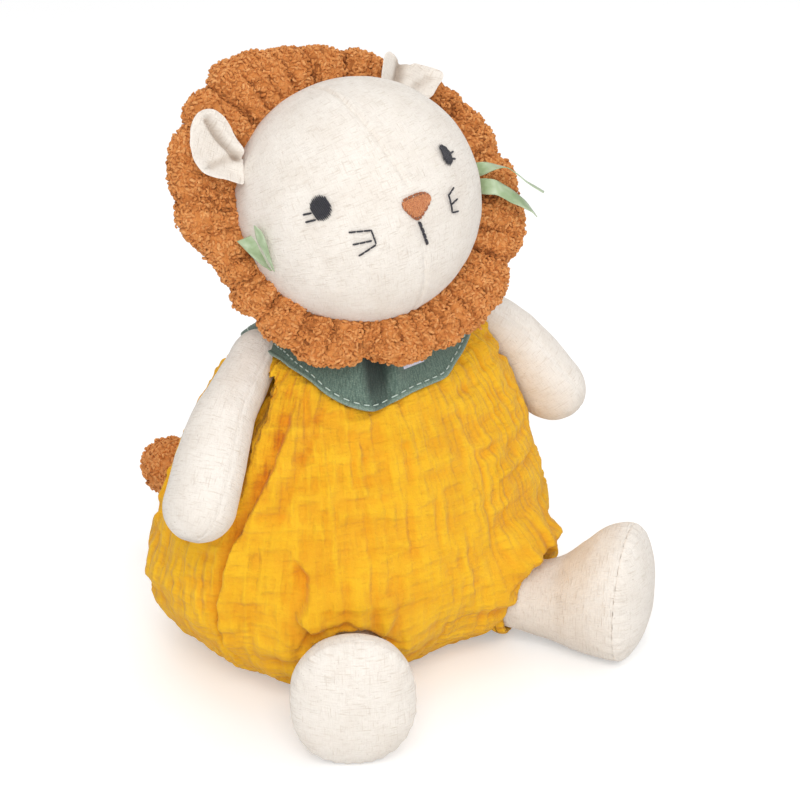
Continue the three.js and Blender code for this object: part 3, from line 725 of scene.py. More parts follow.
@dataclass(frozen=True)
class Muslin:
    """Mustard double gauze, with painted shade in its creases."""

    name: str = "muslin_cloth"
    ground: tuple[int, int, int] = (234, 179, 18)
    high: tuple[int, int, int] = (243, 190, 30)
    deep: tuple[int, int, int] = (216, 130, 10)

    def material(self) -> bpy.types.Material:
        """Narrow crinkles up the cloth and fine gauze threads, over the modelled folds, with painted shade in their
        valleys.

        Returns:
            The material.
        """
        r = Recipe(self.name)
        drift = r.node("Mix", {"Factor": 0.06}, data_type="VECTOR")
        r.feed(drift.inputs[4], r.cloth((0.3, 0.075)))
        r.feed(drift.inputs[5], r.node("TexNoise", {"Vector": r.cloth((0.07, 0.05)), "Scale": 1.0}).outputs[1])
        ribs = r.between(r.grain(drift.outputs[1], 1.0, 1), 0.3, 0.7)
        knots = r.between(r.grain(r.cloth((0.1, 0.4)), 1.0, 1), 0.3, 0.7)
        crinkle = r.maths("ADD", ribs, r.maths("MULTIPLY", knots, 0.8))
        threads = r.maths("ADD", r.grain(r.cloth((0.6, 2.4)), 1, 2), r.grain(r.cloth((2.4, 0.6)), 1, 2))
        cloud = r.grain(r.cloth((0.05, 0.09)), 1, 3)
        tone = r.blend(r.between(cloud, 0.35, 0.7), srgb(*self.ground), srgb(*self.high))
        # painted shade: the valley value (crinkles' valleys, puckers, folds' hollows, cuffs' pleats) takes the colour
        # to the deep one
        tone = r.blend(r.value("valley"), tone, srgb(*self.deep))
        # painted shade: the low parts of the crinkles are darker
        tone = r.blend(r.between(crinkle, 0.45, 1.25, (0.24, 0)), tone, srgb(*self.deep))
        tone = r.blend(r.between(threads, 0.8, 1.2, (0.14, 0)), tone, srgb(*self.deep))
        return r.shade(base_color=tone, roughness=0.92, sheen_weight=0.06, sheen_roughness=0.5,
                       normal=r.relief(threads, 0.24, 0.9, r.relief(crinkle, 0.7, 1.1)))


@dataclass(frozen=True)
class Boucle:
    """Caramel curled pile, with painted shade between its curls."""

    name: str = "boucle_pile"
    ground: tuple[int, int, int] = (216, 138, 70)
    light: tuple[int, int, int] = (240, 174, 108)
    deep: tuple[int, int, int] = (142, 78, 30)

    def material(self) -> bpy.types.Material:
        """Each curl has its own tone; lower values go to the deep colour, a painted shade between the backing's nubs
        and in the mane's creases and pleats.

        Returns:
            The material.
        """
        r = Recipe(self.name)
        tint = r.value("tint")
        fuzz = r.grain(r.space(), 2.4, 3, 0.6)
        tone = r.blend(r.between(tint, 0.45, 1), srgb(*self.ground), srgb(*self.light))
        # painted shade: low values, between the backing's nubs and in the creases, go to the deep colour
        tone = r.blend(r.between(tint, 0.45, 0.0), tone, srgb(*self.deep))
        tone = r.blend(r.between(fuzz, 0.35, 0.6, (0.22, 0)), tone, srgb(*self.deep))
        return r.shade(base_color=tone, roughness=0.95, sheen_weight=0.3, sheen_roughness=0.45,
                       sheen_tint=srgb(*self.light), normal=r.relief(fuzz, 0.4, 0.85))


@dataclass(frozen=True)
class Twill:
    """Dusty green brushed twill."""

    name: str = "twill_cloth"
    ground: tuple[int, int, int] = (92, 114, 102)
    light: tuple[int, int, int] = (146, 166, 152)
    deep: tuple[int, int, int] = (58, 78, 70)
    shadow: tuple[int, int, int] = (26, 36, 33)

    def material(self) -> bpy.types.Material:
        """Slanted ribs with a pale nap, paler along the cut edges, and a painted shadow in the fold's hollow.

        Returns:
            The material.
        """
        r = Recipe(self.name)
        ribs = r.grain(r.cloth((1.9, 0.28), 38), 1, 2)
        nap = r.grain(r.cloth((1.2, 1.2)), 1.4, 4, 0.7)
        tone = r.blend(r.between(nap, 0.46, 0.74, (0, 0.8)), srgb(*self.ground), srgb(*self.light))
        tone = r.blend(r.between(ribs, 0.55, 0.4, (0, 0.5)), tone, srgb(*self.deep))
        tone = r.blend(r.maths("MULTIPLY", r.value("edge"), r.between(nap, 0.3, 0.6)), tone, srgb(*self.light))
        # painted shadow in the neckerchief's fold hollow
        tone = r.blend(r.maths("MULTIPLY", r.value("hollow"), 0.85), tone, srgb(*self.shadow))
        return r.shade(base_color=tone, roughness=0.95, sheen_weight=0.2, sheen_roughness=0.5,
                       normal=r.relief(r.maths("ADD", ribs, r.maths("MULTIPLY", nap, 0.5)), 0.28, 0.85))


@dataclass(frozen=True)
class Satin:
    """Sage satin ribbon with a soft streak of light."""

    name: str = "satin_ribbon"
    ground: tuple[int, int, int] = (152, 174, 132)
    light: tuple[int, int, int] = (202, 214, 186)

    def material(self) -> bpy.types.Material:
        """Fine ribs across the ribbon.

        Returns:
            The material.
        """
        r = Recipe(self.name)
        ribs = r.grain(r.cloth((0.15, 3.5)), 1, 1)
        wash = r.grain(r.cloth((0.2, 0.12)), 1, 2)
        tone = r.blend(r.between(wash, 0.4, 0.65, (0, 0.6)), srgb(*self.ground), srgb(*self.light))
        return r.shade(base_color=tone, roughness=0.34, anisotropic=0.5, sheen_weight=0.15,
                       normal=r.relief(ribs, 0.06, 0.6))


@dataclass(frozen=True)
class Floss:
    """Stitching thread with a twist and a slight shine."""

    name: str
    ground: tuple[int, int, int]
    light: tuple[int, int, int]

    def material(self) -> bpy.types.Material:
        """Two strands twisted about each other.

        Returns:
            The material.
        """
        r = Recipe(self.name)
        strands = r.grain(r.space(), 3.2, 2, 0.5)
        tone = r.blend(r.between(strands, 0.4, 0.66), srgb(*self.ground), srgb(*self.light))
        return r.shade(base_color=tone, roughness=0.5, sheen_weight=0.3, sheen_roughness=0.4,
                       normal=r.relief(strands, 0.12, 0.8))


@dataclass(frozen=True)
class Fibre:
    """Loose white filling, woven tape or elastic: pale and fine-grained."""

    name: str
    ground: tuple[int, int, int]
    deep: tuple[int, int, int]
    size: float = 1.0
    rough: float = 0.95

    def material(self) -> bpy.types.Material:
        """Fine fibres in every direction.

        Returns:
            The material.
        """
        r = Recipe(self.name)
        fibres = r.grain(r.space(), self.size, 4, 0.7)
        tone = r.blend(r.between(fibres, 0.4, 0.65), srgb(*self.deep), srgb(*self.ground))
        return r.shade(base_color=tone, roughness=self.rough, normal=r.relief(fibres, 0.2, 0.7))


class Wardrobe:
    """The finishes, each made once, and the record's slot for two of them."""

    def __init__(self) -> None:
        """Makes every material."""
        made = {
            "linen": Linen(), "muslin": Muslin(), "boucle": Boucle(), "twill": Twill(), "satin": Satin(),
            "black_thread": Floss("black_floss", (20, 18, 24), (50, 48, 58)),
            "rust_thread": Floss("rust_floss", (170, 92, 44), (226, 158, 104)),
            "rust_edge": Floss("rust_edge_floss", (140, 78, 42), (176, 104, 60)),
            "stitching": Floss("pale_sewing_thread", (176, 196, 184), (212, 224, 214)),
            "filling": Fibre("fibre_filling", (246, 244, 240), (222, 218, 212), 0.8),
            "elastic": Fibre("woven_elastic", (240, 239, 232), (206, 204, 196), 1.4, 0.7),
            "tape": Fibre("bare_tape", (232, 230, 240), (204, 202, 216), 1.8, 0.8),
        }
        self.materials = {slot: finish.material() for slot, finish in made.items()}
        self.slots = {"rust_edge": "rust_thread", "stitching": "twill"}

    def dress(self, piece: Piece, finish: str) -> None:
        """Gives the piece its material.

        Args:
            piece: what is dressed.
            finish: the finish's name.
        """
        piece.data.materials.clear()
        piece.data.materials.append(self.materials[finish])


@dataclass(frozen=True)
class Figure:
    """Sizes and places that several pieces share, in millimetres.

    Attributes:
        body_half: half the body's width and depth, and its height.
        lean: how far the top of the body leans, to the lion's right and forward.
        neck: centre of the gather in the neck.
        head_place: centre of the head.
        head_half: half the head's width, depth and height.
        head_turns: the head's turns about X, Y and Z, in degrees.
        hip_height: of the hips' balls over the ground.
        splay: how far each leg points to its side, in degrees.
        collar: the neckerchief's lower edge, as degrees round the body and share of its height.
    """

    body_half: tuple[float, float, float] = (93.5, 70.0, 150.0)
    lean: tuple[float, float] = (3.0, 6.0)
    neck: tuple[float, float, float] = (-3.0, -6.0, 151.0)
    head_place: tuple[float, float, float] = (-12.0, -18.0, 201.0)
    head_half: tuple[float, float, float] = (50.5, 48.0, 49.5)
    head_turns: tuple[float, float, float] = (-16.4, -12.2, -9.0)
    hip_height: float = 21.5
    splay: float = 34.0
    collar: tuple[tuple[float, float], ...] = (
        (0, 0.955), (30, 0.935), (60, 0.91), (90, 0.9), (120, 0.91), (150, 0.935), (180, 0.955), (205, 0.938),
        (218, 0.916), (226, 0.896), (233, 0.864), (241, 0.832), (248, 0.812), (252, 0.804), (258, 0.816),
        (267, 0.828), (276, 0.832), (284, 0.832), (289, 0.852), (303, 0.884), (330, 0.925), (360, 0.955))

    def collar_edge(self, angle: Array) -> Array:
        """Height share of the neckerchief's lower edge at an angle round the body.

        Args:
            angle: round the body, from +X.

        Returns:
            Shares of the body's height.
        """
        table = np.array(self.collar)
        degrees = np.degrees(angle) % 360
        near = ((-3, 0.25), (0, 0.5), (3, 0.25))
        return sum(w * np.interp(degrees + d, table[:, 0], table[:, 1], period=360) for d, w in near)

    def shoulder(self, side: Side) -> Array:
        """Centre of the shoulder's ball."""
        return np.array([side.value * 51.0, -3.0, 140.0])

    def hand(self, side: Side) -> Array:
        """Where the hand's round end starts."""
        return np.array([90.0 if side is Side.LEFT else -95.0, -24.6, 95.0])

    def hip(self, side: Side) -> Array:
        """Centre of the hip's ball."""
        return np.array([side.value * 45.0, -54.0, self.hip_height])

    def leg_way(self, side: Side) -> Array:
        """The way the leg points."""
        a = math.radians(self.splay)
        return np.array([side.value * math.sin(a), -math.cos(a), 0.0])

    def arm_path(self, side: Side, ways: Array) -> Array:
        """The arm's middle line.

        Args:
            side: which arm.
            ways: where along it, from the shoulder, 0, to the hand, 1.

        Returns:
            A place for each way.
        """
        a, b = self.shoulder(side), self.hand(side)
        middle = (a + b) / 2 + np.array([side.value * 3.0, 0, 3.0])
        return spline([a, middle, b], ways)

    def into_head(self, local: Array) -> Array:
        """Points of the head's own frame, whose face looks along -Y, in the lion's frame."""
        return local @ turned(*self.head_turns).T + np.array(self.head_place)

    def head_out(self, local: Array) -> Array:
        """The way out of the head at points of its surface, in the head's frame."""
        return unit(local / np.array(self.head_half) ** 2)

    def on_head(self, x: Array, z: Array) -> Array:
        """Points on the face, in the head's frame.

        Args:
            x: ways across the face.
            z: ways up it.

        Returns:
            Places on the head's surface.
        """
        a, b, c = self.head_half
        x, z = np.asarray(x, float), np.asarray(z, float)
        return flat(x, -b * np.sqrt(np.clip(1 - (x / a) ** 2 - (z / c) ** 2, 0, 1)), z)

    def near_place(self, centre: tuple[float, float], offsets: Array) -> Array:
        """Points of the face at offsets from a place on it, measured along the cloth, in the head's frame.

        Args:
            centre: the place, as ways across and up the face.
            offsets: ways across and up from it.

        Returns:
            Places on the head's surface.
        """
        at = self.on_head(*centre)
        out = self.head_out(at)
        across = unit(np.array([1.0, 0, 0]) - out * out[0])
        up = np.cross(across, out)
        q = at + offsets[:, :1] * across + offsets[:, 1:] * up
        return q / np.sqrt(((q / np.array(self.head_half)) ** 2).sum(1))[:, None]


FIGURE = Figure()


@dataclass(frozen=True)
class Fold:
    """A crease in the romper.

    Attributes:
        path: its places, as degrees round the body and share of the height, from the top down.
        width: half its width, in millimetres.
        depth: how far it is drawn in.
        roll: how far the cloth after it rolls out, as a share of the depth.
        waver: how far its line wavers.
        taper: the share of its length over which each end fades.
    """

    path: tuple[tuple[float, float], ...]
    width: float
    depth: float
    roll: float = 0.8
    waver: float = 0.8
    taper: float = 0.16

    def relief(self, angle: Array, height: Array, reach: Array, tall: float) -> tuple[Array, Array]:
        """Shape of the crease: a step, with a hollow before it and a roll after it.

        Args:
            angle: places round the body.
            height: their height over the ground.
            reach: their distance from the body's upright.
            tall: the body's height.

        Returns:
            Height of the cloth over its plain form, and the share of the hollow, which is painted as shade.
        """
        path = [(math.radians(a) * reach, h * tall) for a, h in self.path]
        off, share = beside(angle * reach, height, path)
        off += self.waver * noise(flat(angle * reach / 9, height / 9, 0), 21)
        fade = ease(share / self.taper) * ease((1 - share) / self.taper)
        step = ease((off + 0.5 * self.width) / self.width)
        low = bump(np.minimum(off, 0), 2.6 * self.width) * (1 - step)
        lip = bump(np.maximum(off, 0), 4 * self.width) * step
        # painted shade: the hollow before the step darkens the muslin
        hollow = bump(np.minimum(off + 0.3 * self.width, 0), 1.9 * self.width) * (1 - step)
        return self.depth * (self.roll * lip - low) * fade, hollow * fade


@dataclass
class Torso:
    """The romper over the stuffed body, and the gathered hems of its legs.

    Attributes:
        figure: the shared sizes.
        wardrobe: the finishes.
        segments: points round the romper.
        rings: points from its seat to its neck.
        girth: the cloth's way round for each radian.
        length: of the cloth from the seat's middle to the neck.
        profile: the bell, as shares of the body's height, half width and half depth, from the seat's middle up.
        folds: its creases.
        arm_clearance: how far the cloth stays off the arms.
        neck_gathers: gathers round the neck edge.
        drift: how far the crinkles wander.
        rib: height of the crinkles that run up the cloth.
        tie: height of those across it.
        cuff_reach: radius inside which the cloth goes into the leg's opening.
        cuff_radius: of the hem's roll round the leg.
        cuff_ruffles: ruffles round a hem.
        cuff_roll: half the hem's thickness, out from the leg and along it.
    """

    figure: Figure
    wardrobe: Wardrobe
    segments: int = 640
    rings: int = 240
    girth: float = 82.0
    length: float = 262.0
    profile: tuple[tuple[float, float, float], ...] = (
        (0, 0.0, 0.0), (0, 0.3, 0.29), (0, 0.55, 0.53), (0.006, 0.66, 0.64), (0.045, 0.78, 0.77), (0.11, 0.89, 0.89),
        (0.19, 0.97, 0.97), (0.28, 1, 1), (0.4, 0.963, 0.957), (0.53, 0.906, 0.875), (0.65, 0.85, 0.775),
        (0.745, 0.79, 0.675), (0.825, 0.72, 0.575), (0.89, 0.64, 0.485), (0.945, 0.53, 0.4), (0.98, 0.39, 0.315),
        (1, 0.2, 0.22), (1, 0.0, 0.0),
    )
    folds: tuple[Fold, ...] = (
        Fold(((222, 0.88), (219, 0.785), (215, 0.685), (209, 0.585), (204, 0.485), (202, 0.41), (201, 0.33),
              (202, 0.195), (207, 0.105)), 2.3, 4.6, 0.8),
        Fold(((236, 0.86), (231, 0.78), (227, 0.705), (221, 0.6), (217, 0.5)), 2.2, 3.2, -0.35),
        Fold(((222, 0.48), (228, 0.41), (227, 0.355), (225, 0.31), (228, 0.28), (233, 0.275)), 2.4, 3.8),
        Fold(((338, 0.8), (350, 0.62), (358, 0.465), (356, 0.3), (345, 0.15)), 2.0, 2.0, 0.6),
        Fold(((236, 0.688), (249, 0.704), (266, 0.722)), 1.3, 0.9, 0.8),
        Fold(((229, 0.335), (246, 0.32), (265, 0.285)), 1.5, 1.0, 0.8),
        Fold(((222, 0.185), (229, 0.28), (239, 0.295), (249, 0.23), (256, 0.165)), 1.8, 1.7),
        Fold(((282, 0.19), (292, 0.27), (304, 0.29), (316, 0.2)), 1.8, 1.4),
        Fold(((62, 0.8), (66, 0.6), (61, 0.35)), 3.0, 2.0),
        Fold(((124, 0.75), (128, 0.5), (121, 0.2)), 3.0, 2.2),
    )
    arm_clearance: float = 2.2
    neck_gathers: int = 34
    drift: float = 3.4
    rib: float = 1.15
    tie: float = 1.45
    cuff_reach: float = 18.4
    cuff_radius: float = 17.9
    cuff_ruffles: int = 22
    cuff_roll: tuple[float, float] = (1.25, 3.4)

    def place(self, way: Array, angle: Array) -> Array:
        """The bell that the romper follows, pressed in where the arms hang.

        Args:
            way: from the middle of the seat, 0, to the neck, 1.
            angle: round the body.

        Returns:
            A place for each.
        """
        half = self.figure.body_half
        rows = [(h * half[2], w * half[0], d * half[1]) for h, w, d in self.profile]
        q = spline(rows, way)
        z = np.clip(q[:, 0], 0, None)
        share = (z / half[2]) ** 3
        x = q[:, 1] * np.cos(angle) - self.figure.lean[0] * share
        y = q[:, 2] * np.sin(angle) - self.figure.lean[1] * share
        return self.pressed(flat(x, y, z))

    def pressed(self, p: Array) -> Array:
        """Draws the surface in until it clears the arms.

        Args:
            p: its points.

        Returns:
            The points, some of them moved.
        """
        p = p.copy()
        ways = np.linspace(0, 1, 14)
        for side in Side:
            line = self.figure.arm_path(side, ways)
            radii = 10 + 7 * ways + self.arm_clearance
            near = np.flatnonzero((p[:, 0] * side.value > 20) & (p[:, 2] > 55) & (p[:, 2] < 136))
            inward = unit(p[near] * np.array([-1.0, -1.0, 0.0]))
            for _ in range(16):
                reach = (np.linalg.norm(p[near, None] - line[None], axis=2) - radii).min(1)
                p[near] += inward * np.clip(-reach, 0, 2.0)[:, None] * 0.8
        return p

    def crinkle(self, angle: Array, v: Array) -> tuple[Array, Array]:
        """The gauze's crinkles: soft ribs up the cloth with wrinkles across them, over broader puffs.

        Args:
            angle: places round the body.
            v: their way up the cloth.

        Returns:
            Height of the cloth, and how deep in its valleys each place is, which is painted as shade.
        """

        def round_body(across: float, along: float, seed: float, shift: Array | float = 0.0) -> Array:
            """Coordinates that close round the body, one for each feature's width and length."""
            a = angle + shift / self.girth
            return flat(np.cos(a) * self.girth / across, np.sin(a) * self.girth / across, v / along + seed)

        drift = self.drift * noise(round_body(30, 26, 0), 5)
        tall = noise(round_body(2.7, 24, 3, drift), 11)
        cross = noise(round_body(15, 3.6, 5, drift), 12)
        broad = noise(round_body(11, 30, 7), 13, 2)
        puff = noise(round_body(36, 40, 2), 16)
        strength = 0.95 + 0.45 * noise(round_body(45, 45, 1), 15)
        waves = strength * (self.rib * tall + self.tie * cross)
        # the second value is painted shade, deeper in the crinkles' valleys
        return waves + 0.5 * broad + 1.4 * puff, 0.26 * ease(-1.5 * waves)

    def openings(self, p: Array) -> tuple[Array, Array]:
        """Draws the cloth in round each leg, with folds that run to the hem.

        Args:
            p: the romper's points.

        Returns:
            The points, and the height of the folds.
        """
        p, folds = p.copy(), np.zeros(len(p))
        for side in Side:
            way, hip = self.figure.leg_way(side), self.figure.hip(side)
            rel = p - hip
            along = rel @ way
            radial = rel - along[:, None] * way
            reach = np.linalg.norm(radial, axis=1)
            around = np.arctan2(radial[:, 2], radial @ np.cross(way, UP))
            front = ease((along + 22) / 14)
            ripple = 0.35 * np.cos(around * self.cuff_ruffles) + np.cos(around * 10 + 2 + 1.3 * np.sin(around * 3))
            folds += front * 1.1 * ripple * ease((48 - reach) / 24) * ease((reach - 16) / 7)
            over = (5.8 + 2.2 * np.sin(around)) * ease((42 - reach) / 18) * ease((reach - 15) / 4)
            drawn = front * (17 * ease((self.cuff_reach - reach) / 3.6) - over)
            p -= drawn[:, None] * way
        return p, folds

    def build(self) -> None:
        """The romper, as one padded piece with its folds and crinkles modelled."""
        piece, way, angle = round_ball("romper_cloth", self.segments, self.rings, self.place)
        out = outs(piece)
        p, pucker = self.openings(corners(piece))
        free = ease(p[:, 2] / 7) * ease((149 - p[:, 2]) / 6)
        gathers = 1.1 * np.cos(angle * self.neck_gathers + 2 * np.sin(angle * 5)) * ease((p[:, 2] - 112) / 26)
        reach = np.hypot(p[:, 0], p[:, 1])
        height, shade = self.crinkle(angle, way * self.length)
        height += gathers + pucker
        # painted shade in the puckers round the leg openings
        shade += 0.3 * ease(-pucker / 1.2)
        for fold in self.folds:
            relief, hollow = fold.relief(angle, p[:, 2], reach, self.figure.body_half[2])
            height += relief
            # painted shade in each fold's hollow, deeper for deeper folds
            shade += 0.1 * fold.depth * hollow + 0.1 * hollow
        under = ease((p[:, 2] / self.figure.body_half[2] - self.figure.collar_edge(angle) + 0.01) / 0.035)
        height = height * (1 - 0.8 * under) - 1.2 * under
        p += out * (height * free)[:, None]
        p[:, 2] = np.maximum(p[:, 2], 0)
        put(piece, p)
        write_uv(piece, flat(angle * self.girth, way * self.length), TURN * self.girth)
        # painted shade for the muslin: crinkle valleys, puckers and fold hollows
        write_value(piece, "valley", np.clip(shade, 0, 0.85))
        self.wardrobe.dress(piece, "muslin")
        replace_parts(piece, "romper", "body_lining", "body_stuffing", "pellet_pouch")
        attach(piece, "torso")

    def cuff(self, side: Side) -> None:
        """A gathered hem round the leg.

        Args:
            side: which leg.
        """
        way, hip = self.figure.leg_way(side), self.figure.hip(side)
        across = np.cross(way, UP)

        def pleat(big: Array) -> Array:
            """The ruffles, from -1 to 1."""
            return np.cos(big * self.cuff_ruffles + 1.6 * np.sin(big * 3))

        def place(big: Array, small: Array) -> Array:
            """The roll round the leg, kept off the ground.

            Args:
                big: round the ring.
                small: round its section.

            Returns:
                A place for each.
            """
            thick, deep = self.cuff_roll
            open_out = 0.5 + 0.5 * np.cos(small)
            radius = self.cuff_radius + (thick + 0.2 * pleat(big)) * np.cos(small) + 0.45 * pleat(big) * open_out
            along = -2.4 + deep * np.sin(small) + 0.4 * np.sin(big * self.cuff_ruffles) * open_out
            round_leg = np.cos(big)[:, None] * across + np.sin(big)[:, None] * UP
            made = hip + round_leg * radius[:, None] + along[:, None] * way
            made[:, 2] = np.maximum(made[:, 2], 0.6)
            return made

        piece, big, small = ring(f"{side.word}_cuff_cloth", 264, 24, place)
        write_uv(piece, flat(big * 19, small * 4), TURN * 19)
        # painted shade in the valleys between the hem's ruffles
        write_value(piece, "valley", 0.4 * ease(-pleat(big)))
        self.wardrobe.dress(piece, "muslin")
        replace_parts(piece, f"{side.word}_leg_cuff")
        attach(piece, "torso")


@dataclass
class Arms:
    """Two stuffed sleeves that end in round hands.

    Attributes:
        figure: the shared sizes.
        wardrobe: the finishes.
        root_radius: of the ball in the shoulder.
        hand_half: half the hand's width and thickness.
        tip: length of the hand's round end.
        widths: shares of the hand's width and thickness along the arm.
    """

    figure: Figure
    wardrobe: Wardrobe
    root_radius: float = 10.0
    hand_half: tuple[float, float] = (17.0, 14.0)
    tip: float = 16.0
    widths: tuple[tuple[float, float, float], ...] = (
        (0.0, 0.59, 0.71), (0.16, 0.64, 0.76), (0.36, 0.72, 0.82), (0.56, 0.84, 0.92), (0.76, 0.95, 0.98),
        (1.0, 1, 1),
    )

    def build(self, side: Side) -> None:
        """One arm, its length along the way of the ball it is drawn from.

        Args:
            side: which arm.
        """
        ways = np.linspace(0, 1, 41)
        line = self.figure.arm_path(side, ways)
        spans = np.linalg.norm(np.diff(line, axis=0), axis=1).sum()
        tangents = unit(np.gradient(line, axis=0))
        table = np.array(self.widths)

        def place(way: Array, angle: Array) -> Array:
            """The sleeve round its middle line, closed by a cap at each end.

            Args:
                way: along it, 0 to 1.
                angle: round it.

            Returns:
                A place for each.
            """
            s = way * (self.root_radius + spans + self.tip) - self.root_radius
            mid = np.clip(s / spans, 0, 1)
            centre = np.stack([np.interp(mid, ways, line[:, k]) for k in range(3)], 1)
            along = unit(np.stack([np.interp(mid, ways, tangents[:, k]) for k in range(3)], 1))
            before, after = np.clip(-s / self.root_radius, 0, 1), np.clip((s - spans) / self.tip, 0, 1)
            centre += along * (np.minimum(s, 0) + np.clip(s - spans, 0, None))[:, None]
            cap = np.sqrt(np.clip(1 - before**2, 0, 1)) * np.sqrt(np.clip(1 - after**2.2, 0, 1))
            wide = np.interp(mid, table[:, 0], table[:, 1]) * self.hand_half[0] * cap
            thick = np.interp(mid, table[:, 0], table[:, 2]) * self.hand_half[1] * cap
            across = unit(np.cross(along, np.array([side.value, 0, 0.0])))
            outside = unit(np.cross(across, along))
            return centre + across * (np.cos(angle) * wide)[:, None] + outside * (np.sin(angle) * thick)[:, None]

        piece, way, angle = round_ball(f"{side.word}_arm_cloth", 120, 130, place)
        outward(piece)
        p = corners(piece)
        seam = np.minimum.reduce([angle, TURN - angle, np.abs(angle - math.pi)]) * 15
        puckers = 0.55 * noise(flat(np.cos(angle) * 1.4, np.sin(angle) * 1.4, way * 16), 31) * ease((0.4 - way) / 0.4)
        dents = 0.55 * noise(p / 17 + side.value * 4, 32, 2) + 0.12 * noise(p / 5, 33)
        swell(piece, puckers + dents - 0.3 * bump(seam, 0.9) + 0.08 * bump(seam - 2.2, 1.2))
        write_uv(piece, flat(angle * 15, way * 84), TURN * 15)
        self.wardrobe.dress(piece, "linen")
        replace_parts(piece, f"{side.word}_arm_skin", f"{side.word}_arm_stuffing")
        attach(piece, f"{side.word}_arm")


@dataclass
class Legs:
    """Two stuffed legs with narrow ankles, and tall flared feet whose soles face forward.

    Attributes:
        figure: the shared sizes.
        wardrobe: the finishes.
        root_radius: of the ball in the hip.
        foot_half: half the left foot's width and height.
        foot_flat: how far the foot is flattened by the ground.
        crown: how far the sole bulges.
        rows: along the leg, shares of its length and of the foot's width and height, and of its rise.
        leg_share: the share of the ball's way that makes the leg; the rest closes it behind the sole.
        gathers: gathers round the sole's seam.
    """

    figure: Figure
    wardrobe: Wardrobe
    root_radius: float = 16.0
    foot_half: tuple[float, float] = (26.5, 29.3)
    foot_flat: float = 0.5
    crown: float = 11.0
    rows: tuple[tuple[float, float, float, float], ...] = (
        (0.0, 0.6, 0.55, 0.0), (0.24, 0.59, 0.56, -0.2), (0.42, 0.66, 0.63, -0.05), (0.6, 0.83, 0.81, 0.4),
        (0.78, 0.96, 0.95, 0.85), (0.92, 1, 1, 1), (1.0, 0.995, 0.995, 1),
    )
    leg_share: float = 0.86
    gathers: int = 30

    def length(self, side: Side) -> float:
        """From the hip to the seam of the sole."""
        return 50.0 if side is Side.LEFT else 46.0

    def foot(self, side: Side) -> tuple[float, float]:
        """Half the foot's width and height."""
        share = 1.0 if side is Side.LEFT else 0.94
        return self.foot_half[0] * share, self.foot_half[1] * share

    def axes(self, side: Side) -> tuple[Array, Array, Array]:
        """The hip, the way the leg points, and the way across it."""
        way = self.figure.leg_way(side)
        return self.figure.hip(side), way, np.cross(way, UP)

    def build(self, side: Side) -> None:
        """The leg as far as the seam round its sole.

        Args:
            side: which leg.
        """
        hip, ahead, across = self.axes(side)
        length, (foot_wide, foot_tall) = self.length(side), self.foot(side)
        lift = foot_tall - self.foot_flat - self.figure.hip_height
        rows = spline([(r[0] * length, r[1] * foot_wide, r[2] * foot_tall, r[3] * 8) for r in self.rows],
                      np.linspace(0, 1, 200))

        def place(way: Array, angle: Array) -> Array:
            """The leg from its ball to the seam, then its closed end.

            Args:
                way: along it, 0 to 1.
                angle: round it.

            Returns:
                A place for each.
            """
            s = np.minimum(way / self.leg_share, 1) * (self.root_radius + length) - self.root_radius
            end = np.clip((way - self.leg_share) / 0.14, 0, 1)
            cap = np.sqrt(np.clip(1 - np.clip(-s / self.root_radius, 0, 1) ** 2, 0, 1)) * (1 - end)
            wide, tall, rise = (np.interp(np.clip(s, 0, None), rows[:, 0], rows[:, k]) for k in (1, 2, 3))
            centre = hip + s[:, None] * ahead + (lift * rise / 8)[:, None] * UP + (2.0 * end)[:, None] * ahead
            late = ease(s / length)
            c, n = (q + (squarer(q) - q) * late for q in (np.cos(angle), np.sin(angle)))
            return centre + (c * wide * cap)[:, None] * across + (n * tall * cap)[:, None] * UP

        piece, way, angle = round_ball(f"{side.word}_leg_cloth", 140, 130, place)
        outward(piece)
        p = corners(piece)
        toward = (p - hip) @ ahead
        puckers = 0.3 * np.cos(angle * self.gathers + 2 * np.sin(angle * 4)) * bump(toward - length, 4.0)
        ankle = 0.7 * noise(flat(np.cos(angle) * 2.6, np.sin(angle) * 2.6, way * 5 + side.value), 41)
        seam = np.abs(angle - math.pi * 1.5) * 22
        dents = 0.5 * noise(p / 16 + side.value * 7, 42, 2) + 0.12 * noise(p / 5, 43)
        rim = -0.25 * bump(toward - length - 0.2, 0.9)
        swell(piece, (puckers + ankle * bump(toward - 12, 12) + dents + rim - 0.6 * bump(seam, 1.2)) * (way < 0.87),
              ground=True)
        write_uv(piece, flat(angle * 24, way * 80), TURN * 24)
        self.wardrobe.dress(piece, "linen")
        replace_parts(piece, f"{side.word}_leg_skin", f"{side.word}_leg_stuffing")
        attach(piece, f"{side.word}_leg")

    def sole(self, side: Side) -> None:
        """The round panel that closes the foot.

        Args:
            side: which foot.
        """
        hip, ahead, across = self.axes(side)
        foot_wide, foot_tall = self.foot(side)
        centre = hip + ahead * (self.length(side) + 0.1)
        centre[2] = foot_tall - self.foot_flat

        def place(way: Array, angle: Array) -> Array:
            """A flat back, and a front that bulges.

            Args:
                way: along it, 0 to 1.
                angle: round it.

            Returns:
                A place for each.
            """
            share = np.sin(way * math.pi) ** 0.8
            bulge = np.where(way > 0.5, -0.1 + self.crown * (1 - share**2.2) ** 0.62, -0.4)
            wide = foot_wide * 0.995 * share
            tall = foot_tall * 0.995 * share
            return (centre + bulge[:, None] * ahead + (squarer(np.cos(angle)) * wide)[:, None] * across
                    + (squarer(np.sin(angle)) * tall)[:, None] * UP)

